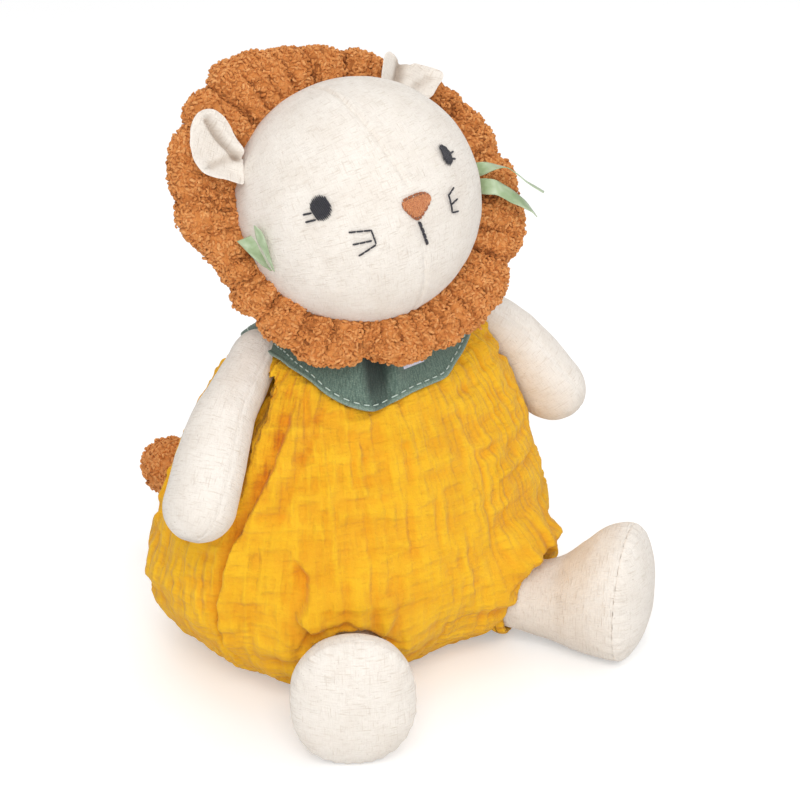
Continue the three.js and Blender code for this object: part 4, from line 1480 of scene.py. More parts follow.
        piece, way, angle = round_ball(f"{side.word}_sole_cloth", 140, 96, place)
        outward(piece)
        p = corners(piece)
        share = np.sin(way * math.pi) ** 0.8
        puckers = 0.3 * np.cos(angle * self.gathers + 2 * np.sin(angle * 4)) * bump(share - 0.95, 0.07)
        swell(piece, 0.55 * noise(p / 15 + 3, 45, 2) * (way > 0.5) + puckers, ground=True)
        write_uv(piece, flat((p - centre) @ across, p[:, 2]))
        self.wardrobe.dress(piece, "linen")
        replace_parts(piece, f"{side.word}_sole")
        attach(piece, f"{side.word}_leg")


@dataclass
class Curls:
    """Short thick loops of yarn that cover a surface.

    Attributes:
        wardrobe: the finishes.
        radius: half the yarn's thickness.
        bend: radius of the loop's bend.
        turn: how far round a loop goes, in radians.
        tint: middle and spread of the loops' own tones, before the painted shade is taken off.
        seed: another seed scatters them elsewhere.
    """

    wardrobe: Wardrobe
    radius: float = 0.5
    bend: float = 0.75
    turn: float = 4.6
    tint: tuple[float, float] = (0.62, 0.17)
    seed: int = 7

    def loop(self) -> Piece:
        """One loop: a piece of a small ring that stands up from the backing.

        Returns:
            The loop, one millimetre for each unit.
        """

        def place(way: Array, angle: Array) -> Array:
            """The yarn along its bend.

            Args:
                way: along it, 0 to 1.
                angle: round it.

            Returns:
                A place for each.
            """
            turn = (way - 0.5) * self.turn
            thick = self.radius * np.sqrt(np.clip(1 - (2 * way - 1) ** 6, 0, 1))
            ringed = self.bend + thick * np.cos(angle)
            return flat(ringed * np.sin(turn), -thick * np.sin(angle), ringed * np.cos(turn))

        return round_ball("loop", 5, 6, place)[0]

    def cover(self, name: str, base: Piece, count: int, shade: Array,
              keep: Callable[[Array], Array] | None = None) -> Piece:
        """Scatters loops over a base's faces.

        Args:
            name: the piece's name.
            base: the backing.
            count: loops.
            shade: how much painted shade the loops take at each of the base's points.
            keep: says for each place whether it takes a loop.

        Returns:
            The piece.
        """
        rng = np.random.default_rng(self.seed + len(name) * 31 + count)
        mesh = base.data
        areas = np.array([p.area for p in mesh.polygons])
        first = np.array([p.vertices[0] for p in mesh.polygons])
        centres, normals = np.empty(len(areas) * 3), np.empty(len(areas) * 3)
        mesh.polygons.foreach_get("center", centres)
        mesh.polygons.foreach_get("normal", normals)
        centres, normals = centres.reshape(-1, 3) / MM, normals.reshape(-1, 3)
        if keep is not None:
            areas = areas * keep(centres)
        pick = rng.choice(len(areas), size=count, p=areas / areas.sum())
        n = unit(normals[pick] + rng.normal(0, 0.4, (count, 3)))
        at = centres[pick] + rng.normal(0, 0.4, (count, 3)) - n * 0.25
        side = unit(np.cross(n, rng.normal(0, 1, (count, 3))))
        size = rng.uniform(0.75, 1.3, count)
        frames = np.stack([side, np.cross(n, side), n, at], 2)
        frames[:, :, :3] *= size[:, None, None]
        # each loop's own random tone, less the painted shade of the crease under it
        tint = np.clip(rng.normal(*self.tint, count) - shade[first[pick]], 0, 1)
        piece = many(name, self.loop(), frames, tint)
        self.wardrobe.dress(piece, "boucle")
        return piece


@dataclass
class Head:
    """The stuffed head and the stitches on its face, placed as ways across and up the face.

    Attributes:
        figure: the shared sizes.
        wardrobe: the finishes.
        eyes: centre of each eye.
        eye_half: half its width and height.
        lashes: each lash, from place to place.
        whiskers: each whisker line, from place to place.
        nose: the nose's outline.
        mouth: the mouth's line, from place to place.
        seam: the seam down the middle of the face, as ways up and across.
        seam_depth: how far the seam draws the linen in.
        thread: half a stitch's thickness, in eyes and nose.
        thread_step: from one thread of satin stitch to the next.
    """

    figure: Figure
    wardrobe: Wardrobe
    eyes: dict[Side, tuple[float, float]] = field(
        default_factory=lambda: {Side.LEFT: (21.9, 11.3), Side.RIGHT: (-31.9, 10.8)})
    eye_half: dict[Side, tuple[float, float]] = field(
        default_factory=lambda: {Side.LEFT: (2.3, 4.7), Side.RIGHT: (3.8, 5.2)})
    lashes: dict[Side, tuple[tuple[float, float, float, float], ...]] = field(default_factory=lambda: {
        Side.LEFT: ((23.8, 10.7, 27.0, 10.8), (23.9, 8.8, 26.2, 7.9)),
        Side.RIGHT: ((-35.1, 9.9, -37.6, 10.1), (-34.8, 7.1, -37.9, 7.2))})
    whiskers: dict[Side, tuple[tuple[float, float, float, float], ...]] = field(default_factory=lambda: {
        Side.LEFT: ((19.5, -1.0, 15.7, -2.7), (19.7, -5.7, 15.6, -6.5), (18.7, -10.4, 15.2, -9.6),
                    (15.7, -2.7, 15.6, -6.5), (15.6, -6.5, 15.2, -9.6)),
        Side.RIGHT: ((-26.5, -1.0, -19.2, -3.0), (-26.4, -6.0, -19.8, -6.9), (-25.4, -10.9, -18.8, -8.9),
                     (-19.2, -3.0, -18.8, -8.9))})
    nose: tuple[tuple[float, float], ...] = (
        (-4.5, 3.1), (-1.2, 3.6), (2.4, 3.4), (5.2, 2.6), (6.5, 1.3), (6.7, -0.4), (5.8, -1.9), (2.6, -4.1),
        (0.4, -5.7), (-1.1, -5.9), (-2.4, -4.9), (-4.2, -1.8), (-5.1, 0.0), (-5.3, 1.8))
    mouth: tuple[float, float, float, float] = (-0.8, -7.0, 0.6, -16.8)
    seam: tuple[tuple[float, float], ...] = (
        (-49, -0.8), (-32, -0.6), (-20, -0.4), (8, 0.0), (24, -2.0), (40, -2.7), (49, -2.5))
    seam_depth: float = 1.0
    thread: float = 0.37
    thread_step: float = 0.68

    def build(self) -> None:
        """The ball of linen, with the seam down its middle."""
        half = np.array(self.figure.head_half)

        def ball(way: Array, angle: Array) -> Array:
            """The head's plain form, in its own frame."""
            r = np.sin(way * math.pi)
            return flat(r * np.cos(angle), r * np.sin(angle), -np.cos(way * math.pi)) * half

        piece, way, angle = round_ball("head_cloth", 400, 220, lambda w, a: self.figure.into_head(ball(w, a)))
        local = ball(way, angle)
        out = self.figure.head_out(local)
        line = np.array(self.seam)
        off = np.where(local[:, 1] < 0, np.abs(local[:, 0] - np.interp(local[:, 2], line[:, 0], line[:, 1])), 99)
        above = ease((local[:, 2] - 5) / 4) + 0.55 * ease((-18 - local[:, 2]) / 4)
        height = (-self.seam_depth * bump(off, 0.9) + 0.4 * bump(off - 2.2, 1.2)) * above
        height += 0.55 * noise(local / 24 + 5, 51, 2) + 0.14 * noise(local / 6, 52)
        put(piece, self.figure.into_head(local + out * height[:, None]))
        turn = np.arctan2(local[:, 2], local[:, 0])
        far = np.arccos(np.clip(-local[:, 1] / half[1], -1, 1)) * 49
        write_uv(piece, flat(far * np.cos(turn), far * np.sin(turn)))
        self.wardrobe.dress(piece, "linen")
        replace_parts(piece, "head_bag", "head_stuffing")
        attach(piece, "head")

    def sewn(self, name: str, starts: Array, ends: Array, radius: float, rise: float, finish: str) -> Piece:
        """Stitches between places of the head's surface.

        Args:
            name: the piece's name.
            starts: where each stitch comes up, in the head's frame.
            ends: where it goes down again.
            radius: half the thread's thickness.
            rise: how far its middle stands up, in radii.
            finish: of its thread.

        Returns:
            The piece.
        """
        tilt = turned(*self.figure.head_turns).T
        out = self.figure.head_out((starts + ends) / 2) @ tilt
        starts, ends = (self.figure.into_head(at) + out * 0.55 for at in (starts, ends))
        piece = stitches(name, starts, ends, out, radius, rise)
        self.wardrobe.dress(piece, finish)
        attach(piece, "head")
        return piece

    def lines(self, name: str, rows: Sequence[tuple[float, float, float, float]], radius: float,
              pitch: float = 2.6) -> Piece:
        """Lines of back stitches, each from one place of the face to another.

        Args:
            name: the piece's name.
            rows: for each line its two places, as ways across and up.
            radius: half the thread's thickness.
            pitch: about how long a stitch is.

        Returns:
            The piece.
        """
        cuts = []
        for x0, z0, x1, z1 in rows:
            count = max(1, round(math.hypot(x1 - x0, z1 - z0) / pitch))
            share = np.linspace(0, 1, count + 1)[:, None]
            way = np.array([x0, z0]) * (1 - share) + np.array([x1, z1]) * share
            cuts += list(zip(way[:-1] - 0.12 * (way[1:] - way[:-1]), way[1:]))
        starts, ends = (self.figure.on_head(*np.array([cut[k] for cut in cuts]).T) for k in (0, 1))
        return self.sewn(name, starts, ends, radius, 1.0, "black_thread")

    def filled(self, name: str, outline: Array, lay: Callable[[Array], Array], lean: float, finish: str) -> Piece:
        """A patch of satin stitch: threads side by side across an outline.

        Args:
            name: the piece's name.
            outline: places along its edge, close together.
            lay: brings them to the head's surface.
            lean: the way the threads run, in degrees.
            finish: of its thread.

        Returns:
            The piece.
        """
        way = np.array([math.cos(math.radians(lean)), math.sin(math.radians(lean))])
        cross = np.array([-way[1], way[0]])
        along, side = outline @ way, outline @ cross
        rows = []
        for at in np.arange(side.min() + 0.25, side.max() - 0.1, self.thread_step):
            near = np.abs(side - at) < self.thread_step / 2
            low, high = along[near].min(), along[near].max()
            if high - low > 0.8:
                jitter = 0.15 * math.sin(at * 31.7)
                rows.append((way * (low + jitter) + cross * at, way * (high + jitter) + cross * at))
        starts, ends = (lay(np.array([row[k] for row in rows])) for k in (0, 1))
        return self.sewn(name, starts, ends, self.thread, 2.4, finish)

    def face(self) -> None:
        """Eyes, lashes, whiskers, nose and mouth."""
        angles = np.linspace(0, TURN, 400, endpoint=False)
        for side in Side:
            wide, tall = self.eye_half[side]
            oval = flat(wide * np.cos(angles), tall * np.sin(angles))
            patch = self.filled("patch", oval, lambda q, s=side: self.figure.near_place(self.eyes[s], q),
                                90 + side.value * 8, "black_thread")
            eye = joined(f"{side.word}_eye_stitches", [patch, self.lines("lashes", self.lashes[side], 0.45, 4.0)])
            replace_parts(eye, f"{side.word}_eye")
            marks = self.lines(f"{side.word}_whisker_stitches", self.whiskers[side], 0.38)
            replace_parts(marks, f"{side.word}_whiskers")
        edge = np.array([*self.nose, self.nose[0]])
        at = np.linspace(0, len(self.nose), 400)
        outline = flat(*(np.interp(at, np.arange(len(edge)), edge[:, k]) for k in (0, 1)))
        nose = self.filled("nose_stitches", outline, lambda q: self.figure.on_head(*q.T), 84, "rust_thread")
        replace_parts(nose, "nose")
        rim = outline[::20]
        starts, ends = (self.figure.on_head(*q.T) for q in (rim[:-1], rim[1:]))
        self.sewn("nose_edge_stitches", starts, ends, 0.42, 1.0, "rust_edge")
        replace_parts(self.lines("mouth_stitches", [self.mouth], 0.66, 2.8), "mouth_stitch")


@dataclass(frozen=True)
class Ear:
    """One ear's shape, as ways along the mane's ring and out of it, from its foot.

    Attributes:
        outline: its edge.
        middle: the place it bows back round.
        angle: its place on the ring, in degrees.
        foot: its foot's way out from the ring's middle.
        forward: its foot's way in front of the ring.
        creases: lines with their depth, their width and how far the cloth rises before them.
    """

    outline: tuple[tuple[float, float], ...]
    middle: tuple[float, float]
    angle: float
    foot: float
    forward: float
    creases: tuple[tuple[tuple[tuple[float, float], ...], float, float, float], ...]


EARS = {
    Side.RIGHT: Ear(
        ((10.9, -2.2), (11.3, 2.9), (12.4, 8.3), (11.9, 12.2), (9.6, 15.2), (4.7, 18.2), (-0.7, 20.0), (-6.4, 21.1),
         (-10.8, 20.2), (-12.7, 17.5), (-13.2, 14.8), (-12.7, 11.8), (-10.9, 7.9), (-8.3, 4.8), (-5.5, 2.3),
         (-0.1, 0.4), (5.4, -1.0)),
        (-0.5, 9.5), 138.0, 55.0, 10.6,
        (
            (((-9.1, 15.7), (-4.4, 8.7), (0.2, 1.3)), 2.6, 1.0, 2.2),
            (((7.8, 9.1), (3.4, 4.3), (0.2, 1.3)), 1.4, 1.3, 0.8),
        ),
    ),
    Side.LEFT: Ear(
        ((12.5, -0.3), (14.7, 3.3), (15.4, 6.9), (14.7, 8.7), (13.5, 9.8), (11.4, 10.1), (9.6, 9.3), (6.4, 8.6),
         (3.1, 9.2), (-0.8, 11.3), (-4.5, 12.5), (-7.9, 12.9), (-10.6, 12.2), (-11.0, 9.5), (-10.2, 5.6), (-9.5, 1.2),
         (-2.4, 2.0), (3.0, 0.6), (8.1, -0.6)),
        (2.0, 5.5), 42.0, 52.0, 11.4,
        (
            (((6.3, 9.0), (5.4, 5.0), (4.6, 0.5)), 3.0, 2.0, 1.4),
            (((-6.5, 8.0), (-4.0, 4.0), (-1.0, 1.0)), 1.3, 1.4, 0.5),
        ),
    ),
}

# Ribbon tails, from root to tip: the place of one edge, then of the other, in the head's frame
RIBBONS = {
    Side.LEFT: (
        ((51.5, -8.2, -3.5, 51.0, -9.6, -9.1), (53.9, -10.3, -4.0, 51.9, -12.5, -8.7),
         (56.7, -11.1, -5.5, 54.0, -16.3, -7.7), (59.2, -12.3, -7.4, 56.5, -17.9, -7.6),
         (61.6, -13.1, -9.1, 58.9, -18.6, -8.2),
         (65.0, -14.7, -13.1, 62.1, -20.1, -12.3), (67.5, -15.8, -17.3, 64.4, -21.2, -16.5),
         (70.2, -16.9, -20.6, 66.9, -22.1, -20.1), (72.9, -18.0, -24.1, 69.5, -23.0, -23.3)),
        ((50.6, -10.2, -9.9, 48.3, -10.8, -15.6), (51.7, -13.6, -10.2, 49.3, -14.3, -16.2),
         (53.9, -15.9, -11.5, 51.7, -16.6, -17.3), (57.2, -15.7, -14.9, 54.1, -18.0, -19.7),
         (60.2, -16.0, -18.4, 56.7, -18.7, -22.8), (62.3, -15.8, -21.5, 58.7, -19.7, -24.6),
         (64.4, -16.1, -25.1, 60.9, -20.8, -27.0), (65.9, -16.3, -29.3, 62.7, -21.6, -29.1),
         (66.0, -18.1, -32.3, 64.8, -20.3, -32.0)),
    ),
    Side.RIGHT: (
        ((-49.1, -9.5, -9.0, -47.9, -10.2, -9.7), (-52.4, -11.8, -5.4, -48.0, -8.3, -8.0),
         (-53.9, -11.1, -2.5, -48.7, -8.6, -4.8), (-54.9, -9.0, 0.5, -49.0, -8.2, -1.1),
         (-54.9, -5.2, 2.9, -49.2, -7.8, 2.8), (-55.3, -2.7, 5.3, -48.7, -5.5, 5.7)),
        ((-49.5, -13.3, -8.7, -49.2, -13.6, -9.4), (-50.0, -13.7, -5.8, -49.6, -14.8, -6.5),
         (-50.6, -13.9, -2.2, -49.9, -15.8, -2.8), (-51.0, -13.6, 0.9, -50.0, -16.7, 1.0),
         (-51.3, -12.6, 4.1, -50.0, -17.0, 4.5), (-51.2, -12.8, 7.1, -50.0, -16.4, 7.7),
         (-50.7, -13.1, 10.5, -50.6, -14.0, 10.1)),
    ),
}


@dataclass
class Mane:
    """The gathered ring of curled pile, and what is sewn in front of it.

    Attributes:
        figure: the shared sizes.
        wardrobe: the finishes.
        curls: the loops that cover it.
        tilt: how far the ring leans back, in degrees.
        set_back: how far its middle lies behind the head's.
        drop: how far its middle lies under the head's.
        width: its full width, out from the head.
        thickness: its full thickness, front to back.
        chest_bend: how far its lowest part bends forward.
        lobes: its lobes.
        pleats: narrow pleats at its inner edge.
        width_shares: its width at even steps round it, from the lion's left, upwards first.
        lobe_sink: depth of the creases between the lobes.
        pleat_sink: depth of the pleats.
        nub: from one nub of the backing to the next.
        loops: in each of the four pieces that the curls make.
        ribbon_size: width and length of a ribbon's tail.
    """

    figure: Figure
    wardrobe: Wardrobe
    curls: Curls
    tilt: float = -12.0
    set_back: float = 8.0
    drop: float = 2.0
    width: float = 25.0
    thickness: float = 18.0
    chest_bend: float = 9.5
    lobes: int = 16
    pleats: int = 36
    width_shares: tuple[float, ...] = (
        0.88, 0.87, 0.52, 0.62, 0.82, 1.14, 1.16, 1.02, 0.58, 0.63, 0.82, 0.66, 0.8, 0.93, 0.96, 1.12)
    lobe_sink: float = 2.0
    pleat_sink: float = 2.4
    nub: float = 2.3
    loops: int = 3900
    ribbon_size: tuple[float, float] = (6.4, 29.0)

    def place(self, angle: Array, out: Array, forward: Array) -> Array:
        """Points of the ring's own frame, in the head's frame.

        Args:
            angle: round the ring.
            out: way out from the ring's middle.
            forward: way in front of it.

        Returns:
            A place for each.
        """
        bend = self.chest_bend * ((1 - np.sin(angle)) / 2) ** 3
        local = flat(np.cos(angle) * out, -forward - bend + self.set_back, np.sin(angle) * out - self.drop)
        return local @ turned(self.tilt, 0, 0).T

    def edge(self, angle: Array, forward: Array) -> Array:
        """Way out from the ring's middle at which the head ends.

        Args:
            angle: round the ring.
            forward: way in front of the ring's middle.

        Returns:
            A way out for each.
        """
        low, high = np.full(len(angle), 10.0), np.full(len(angle), 75.0)
        half = np.array(self.figure.head_half)
        for _ in range(24):
            middle = (low + high) / 2
            inside = ((self.place(angle, middle, forward) / half) ** 2).sum(1) < 1
            low, high = np.where(inside, middle, low), np.where(inside, high, middle)
        return low

    def around(self, angle: Array) -> Array:
        """Share of the width at an angle.

        Args:
            angle: round the ring.

        Returns:
            A share for each.
        """
        shares = np.array(self.width_shares)
        at = angle / TURN * len(shares)
        low = np.floor(at).astype(int) % len(shares)
        mix = ease(at % 1)
        return shares[low] * (1 - mix) + shares[(low + 1) % len(shares)] * mix

    def wander(self, angle: Array) -> Array:
        """The angle with the lobes' unevenness."""
        return angle + 0.09 * np.sin(angle * 5 + 1) + 0.06 * np.sin(angle * 9)

    def build(self) -> None:
        """The backing with its lobes and pleats, and the loops over it."""

        def place(big: Array, small: Array) -> Array:
            """The backing's section, full in its lobes and tucked under the head's edge.

            Args:
                big: round the ring.
                small: round its section.

            Returns:
                A place for each.
            """
            lobe = np.sqrt(np.abs(np.sin(self.wander(big) * self.lobes / 2)))
            full = 0.87 + 0.13 * lobe
            half = self.thickness / 2 * full
            inner = np.maximum.reduce([self.edge(big, way * half) for way in (-1.0, 0.0, 1.0)]) + 0.3
            inner -= 4.5 * ease(-np.cos(small) * 1.4 - 0.2)
            wide = self.width * full * self.around(big) - 1.2
            c, s = np.cos(small), np.sin(small)
            out = inner + wide / 2 * (1 + np.sign(c) * np.abs(c) ** 0.8)
            forward = (half - 0.8) * np.sign(s) * np.abs(s) ** 0.8
            return self.figure.into_head(self.place(big, out, forward))

        piece, big, small = ring("mane_pile", 560, 100, place)
        p = corners(piece)
        crease = (1 - np.abs(np.sin(self.wander(big) * self.lobes / 2))) ** 5
        pleat = (1 - np.abs(np.sin(big * self.pleats / 2 + 0.9 * np.sin(big * 7)))) ** 2.4
        inside = ease(0.75 - 0.62 * np.cos(small))
        sunk = self.lobe_sink * crease * (0.5 + 0.5 * inside) + self.pleat_sink * pleat * inside
        sunk = sunk * ease((np.cos(small) + 0.97) / 0.3)
        nub = 1 - np.clip(nubs(p / self.nub, 62), 0, 1)
        swell(piece, 1.1 * noise(p / 8.5, 61, 2) + 1.3 * (nub - 0.5) - 0.9 - sunk)
        # painted light and shade: the backing is lighter on its nubs and darker between them and in the creases and
        # pleats
        shade = 0.17 * sunk
        write_value(piece, "tint", np.clip(0.2 + 0.6 * nub - shade, 0, 1))
        self.wardrobe.dress(piece, "boucle")
        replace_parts(piece, "mane")
        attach(piece, "head")
        ears = [self.ear_point(ear, np.zeros(1), np.array([8.0]), np.array([ear.forward]))[0]
                for ear in (EARS[side] for side in Side)]

        def bare(at: Array) -> Array:
            """Leaves the places of the ears without loops."""
            return np.prod([ease((np.linalg.norm(at - ear, axis=1) - 7.5) / 2.5) for ear in ears], axis=0)

        for number in range(4):
            loops = self.curls.cover(f"mane_curls_{'abcd'[number]}", piece, self.loops + number, shade, bare)
            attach(loops, "head")

    def ear_point(self, ear: Ear, along: Array, out: Array, forward: Array) -> Array:
        """Points of an ear in the lion's frame.

        Args:
            ear: which ear.
            along: ways along the ring.
            out: ways out from its foot.
            forward: ways in front of the ring.

        Returns:
            A place for each.
        """
        lie = np.full(len(along), math.radians(ear.angle))
        foot = np.full(len(along), ear.foot)
        level = np.full(len(along), ear.forward)
        step = self.place(lie + 0.01, foot, level) - self.place(lie - 0.01, foot, level)
        return self.figure.into_head(self.place(lie, foot + out, forward) + unit(step) * along[:, None])

    def ear(self, side: Side) -> None:
        """A folded leaf of two layers of linen.

        Args:
            side: which ear.
        """
        ear = EARS[side]
        edge = np.array(ear.outline) - np.array(ear.middle)
        turns = np.arctan2(edge[:, 1], edge[:, 0]) % TURN
        order = np.argsort(turns)
        turns, reach = turns[order], np.linalg.norm(edge, axis=1)[order]
        near = ((-0.09, 0.25), (0, 0.5), (0.09, 0.25))

        def spots(way: Array, angle: Array) -> tuple[Array, Array, Array]:
            """Share of the way to the leaf's edge, and the ways along the ring and out of it.

            Args:
                way: along it, 0 to 1.
                angle: round it.

            Returns:
                The three, for each.
            """
            share = np.sin(way * math.pi) ** 0.75
            spread = share * sum(w * np.interp(angle + d, turns, reach, period=TURN) for d, w in near)
            return share, ear.middle[0] + spread * np.cos(angle), ear.middle[1] + spread * np.sin(angle)

        def place(way: Array, angle: Array) -> Array:
            """The leaf, bowed forward at its sides and pressed in along its creases.

            Args:
                way: along it, 0 to 1.
                angle: round it.

            Returns:
                A place for each.
            """
            share, t, o = spots(way, angle)
            forward = ear.forward - 1.2 + 5.2 * ((t - ear.middle[0]) / 13.5) ** 2 * (1 - 0.4 * np.clip(o / 20, 0, 1))
            forward += 2.6 * share**3
            forward += np.sign(way - 0.5) * 1.25 * np.sqrt(np.clip(1 - share**5, 0, 1))
            forward += 0.35 * noise(flat(t / 6, o / 6, 0), 66)
            for path, depth, width, before in ear.creases:
                off, _ = beside(t, o, path)
                forward -= depth * bump(off, width) - before * bump(off + 2.4 * width, 1.8 * width)
            return self.ear_point(ear, t, o - 3 * ease((4 - o) / 5), forward)

        piece, way, angle = round_ball(f"{side.word}_ear_cloth", 140, 90, place)
        outward(piece)
        share, t, o = spots(way, angle)
        write_uv(piece, flat(t, o))
        # painted shade on the ear's front: darker towards the middle of the leaf and along its creases
        hollow = 0.16 * (1 - share)
        for path, depth, width, _ in ear.creases:
            hollow += 0.2 * depth * bump(beside(t, o, path)[0], width)
        write_value(piece, "hollow", np.where(way > 0.5, np.clip(hollow, 0, 0.8), 0))
        self.wardrobe.dress(piece, "linen")
        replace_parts(piece, f"{side.word}_ear")
        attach(piece, "head")

    def ribbon(self, side: Side) -> None:
        """A satin strip folded at the seam, its two tails loose.

        Args:
            side: which ribbon.
        """
        tails = []
        wide, long = self.ribbon_size
        for rows in RIBBONS[side]:

            def place(u: Array, v: Array, rows: Sequence[Sequence[float]] = rows) -> Array:
                """The tail between its two edges.

                Args:
                    u: across it.
                    v: along it.
                    rows: places of its two edges.

                Returns:
                    A place for each.
                """
                both = spline(rows, v)
                at = both[:, :3] * (1 - u)[:, None] + both[:, 3:] * u[:, None]
                return self.figure.into_head(at)

            tail, u, v = strip(f"{side.word}_ribbon_tail", 10, 60, place)
            write_uv(tail, flat(u * wide, v * long))
            thicken(tail, 0.35)
            tails.append(tail)
        piece = joined(f"{side.word}_ribbon_satin", tails)
        self.wardrobe.dress(piece, "satin")
        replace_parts(piece, f"{side.word}_ribbon")
        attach(piece, "head")


@dataclass
class Neckerchief:
    """The twill band on the shoulders, folded in front, with its topstitching and bare tag.

    Attributes:
        figure: the shared sizes.
        wardrobe: the finishes.
        torso: what it lies on.
        top: height share of its upper edge.
        ease_off: how far it stands off the romper.
        fold: where its fold is, round the body.
        tag: where the tag is.
        thickness: of its two layers.
        drop: its flat width.
        hem: from its lower edge up to its topstitching.
        stitch_count: stitches round it.
        tag_size: width and height of the tag, flat.
    """

    figure: Figure
    wardrobe: Wardrobe
    torso: Torso
    top: float = 0.985
    ease_off: float = 2.0
    fold: float = math.radians(258.5)
    tag: float = math.radians(271.1)
    thickness: float = 1.1
    drop: float = 30.0
    hem: float = 3.3
    stitch_count: int = 96
    tag_size: tuple[float, float] = (9.0, 7.0)

    def surface(self, angle: Array, share: Array, lift: Array) -> Array:
        """Places on the shoulders, between the band's top and lower edge.

        Args:
            angle: round the body.
            share: way down from the band's top, 0, to its lower edge, 1.
            lift: height over the romper.

        Returns:
            A place for each.
        """
        height = (self.top + (self.figure.collar_edge(angle) - self.top) * share) * self.figure.body_half[2]
        ways = np.linspace(0.35, 0.93, 500)
        rows = self.torso.place(ways, np.full(500, math.pi / 2))
        way = np.interp(height, rows[:, 2], ways)
        at = self.torso.place(way, angle)
        above = self.torso.place(np.clip(way + 0.004, 0, 1), angle)
        beside_it = self.torso.place(way, angle + 0.02)
        return at + unit(np.cross(beside_it - at, above - at)) * lift[:, None]

    def lift(self, angle: Array, share: Array) -> Array:
        """How far the cloth stands off: a roll lies over a hollow in front, and the rest waves.

        Args:
            angle: round the body.
            share: way down the band.

        Returns:
            Millimetres over the romper.
        """
        off = (angle - self.fold + math.pi) % TURN - math.pi
        down = 1 - 0.75 * ease((share - 0.35) / 0.6)
        roll = 4.6 * ease((off + 0.01) / 0.06) * bump(np.maximum(off - 0.05, 0), 0.1) + 2.4 * bump(off + 0.2, 0.12)
        where = flat(np.cos(angle) * 3.5, np.sin(angle) * 3.5, share * 2)
        wave = 0.5 * np.sin(angle * 5 + 1) + 0.6 * noise(where, 71)
        flare = 0.7 * ease((share - 0.85) / 0.15) + wave * share
        return 0.9 + (self.ease_off - 0.9 + flare) * (1 - self.hollow(angle, share)) + roll * down

    def hollow(self, angle: Array, share: Array) -> Array:
        """How far a place lies in the fold's hollow, from 0 to 1; it draws the cloth in, and the twill paints it as
        shadow.
        """
        off = (angle - self.fold + math.pi) % TURN - math.pi
        return ease(1.5 * bump(off + 0.065, 0.13 - 0.07 * share)) * (1 - 0.5 * ease((share - 0.6) / 0.4))

    def build(self) -> None:
        """The band, the stitches along its edge and the tag."""

        def band(u: Array, v: Array) -> Array:
            """The cloth where it lies."""
            return self.surface(u * TURN, v, self.lift(u * TURN, v))

        piece, u, v = strip("neckerchief_cloth", 480, 44, band)
        write_uv(piece, flat(u * 300, v * self.drop))
        write_value(piece, "edge", ease((v - 0.93) / 0.07))
        # painted shadow for the twill in the fold's hollow
        write_value(piece, "hollow", self.hollow(u * TURN, v))
        edited(piece, bpy.ops.mesh.remove_doubles, threshold=0.00002)
        thicken(piece, self.thickness)
        self.wardrobe.dress(piece, "twill")
        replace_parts(piece, "neckerchief")
        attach(piece, "torso")
        starts = np.linspace(0, TURN, self.stitch_count, endpoint=False)
        places = []
        for t in (starts, starts + 0.042, starts + 0.021):
            drop = (self.top - self.figure.collar_edge(t)) * self.figure.body_half[2] * 1.7
            share = 1 - self.hem / drop
            places.append(self.surface(t, share, self.lift(t, share) + 0.65))
        normal = unit(places[2] - self.surface(starts + 0.021, share, self.lift(starts + 0.021, share)))
        seam = stitches("neckerchief_topstitching", places[0], places[1], normal, 0.27, 0.8)
        self.wardrobe.dress(seam, "stitching")
        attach(seam, "torso")

        def tape(a: Array, b: Array) -> Array:
            """The tag over the band, a little bowed."""
            lift = self.ease_off + 2.0 + 0.6 * np.sin(b * 3)
            return self.surface(self.tag + (a - 0.5) * 0.175, 0.36 + b * 0.27, lift)

        tag, a, b = strip("bare_tag_tape", 12, 10, tape)
        write_uv(tag, flat(a * self.tag_size[0], b * self.tag_size[1]))
        thicken(tag, 0.4)
        self.wardrobe.dress(tag, "tape")
        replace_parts(tag, "blank_tag")
        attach(tag, "torso")


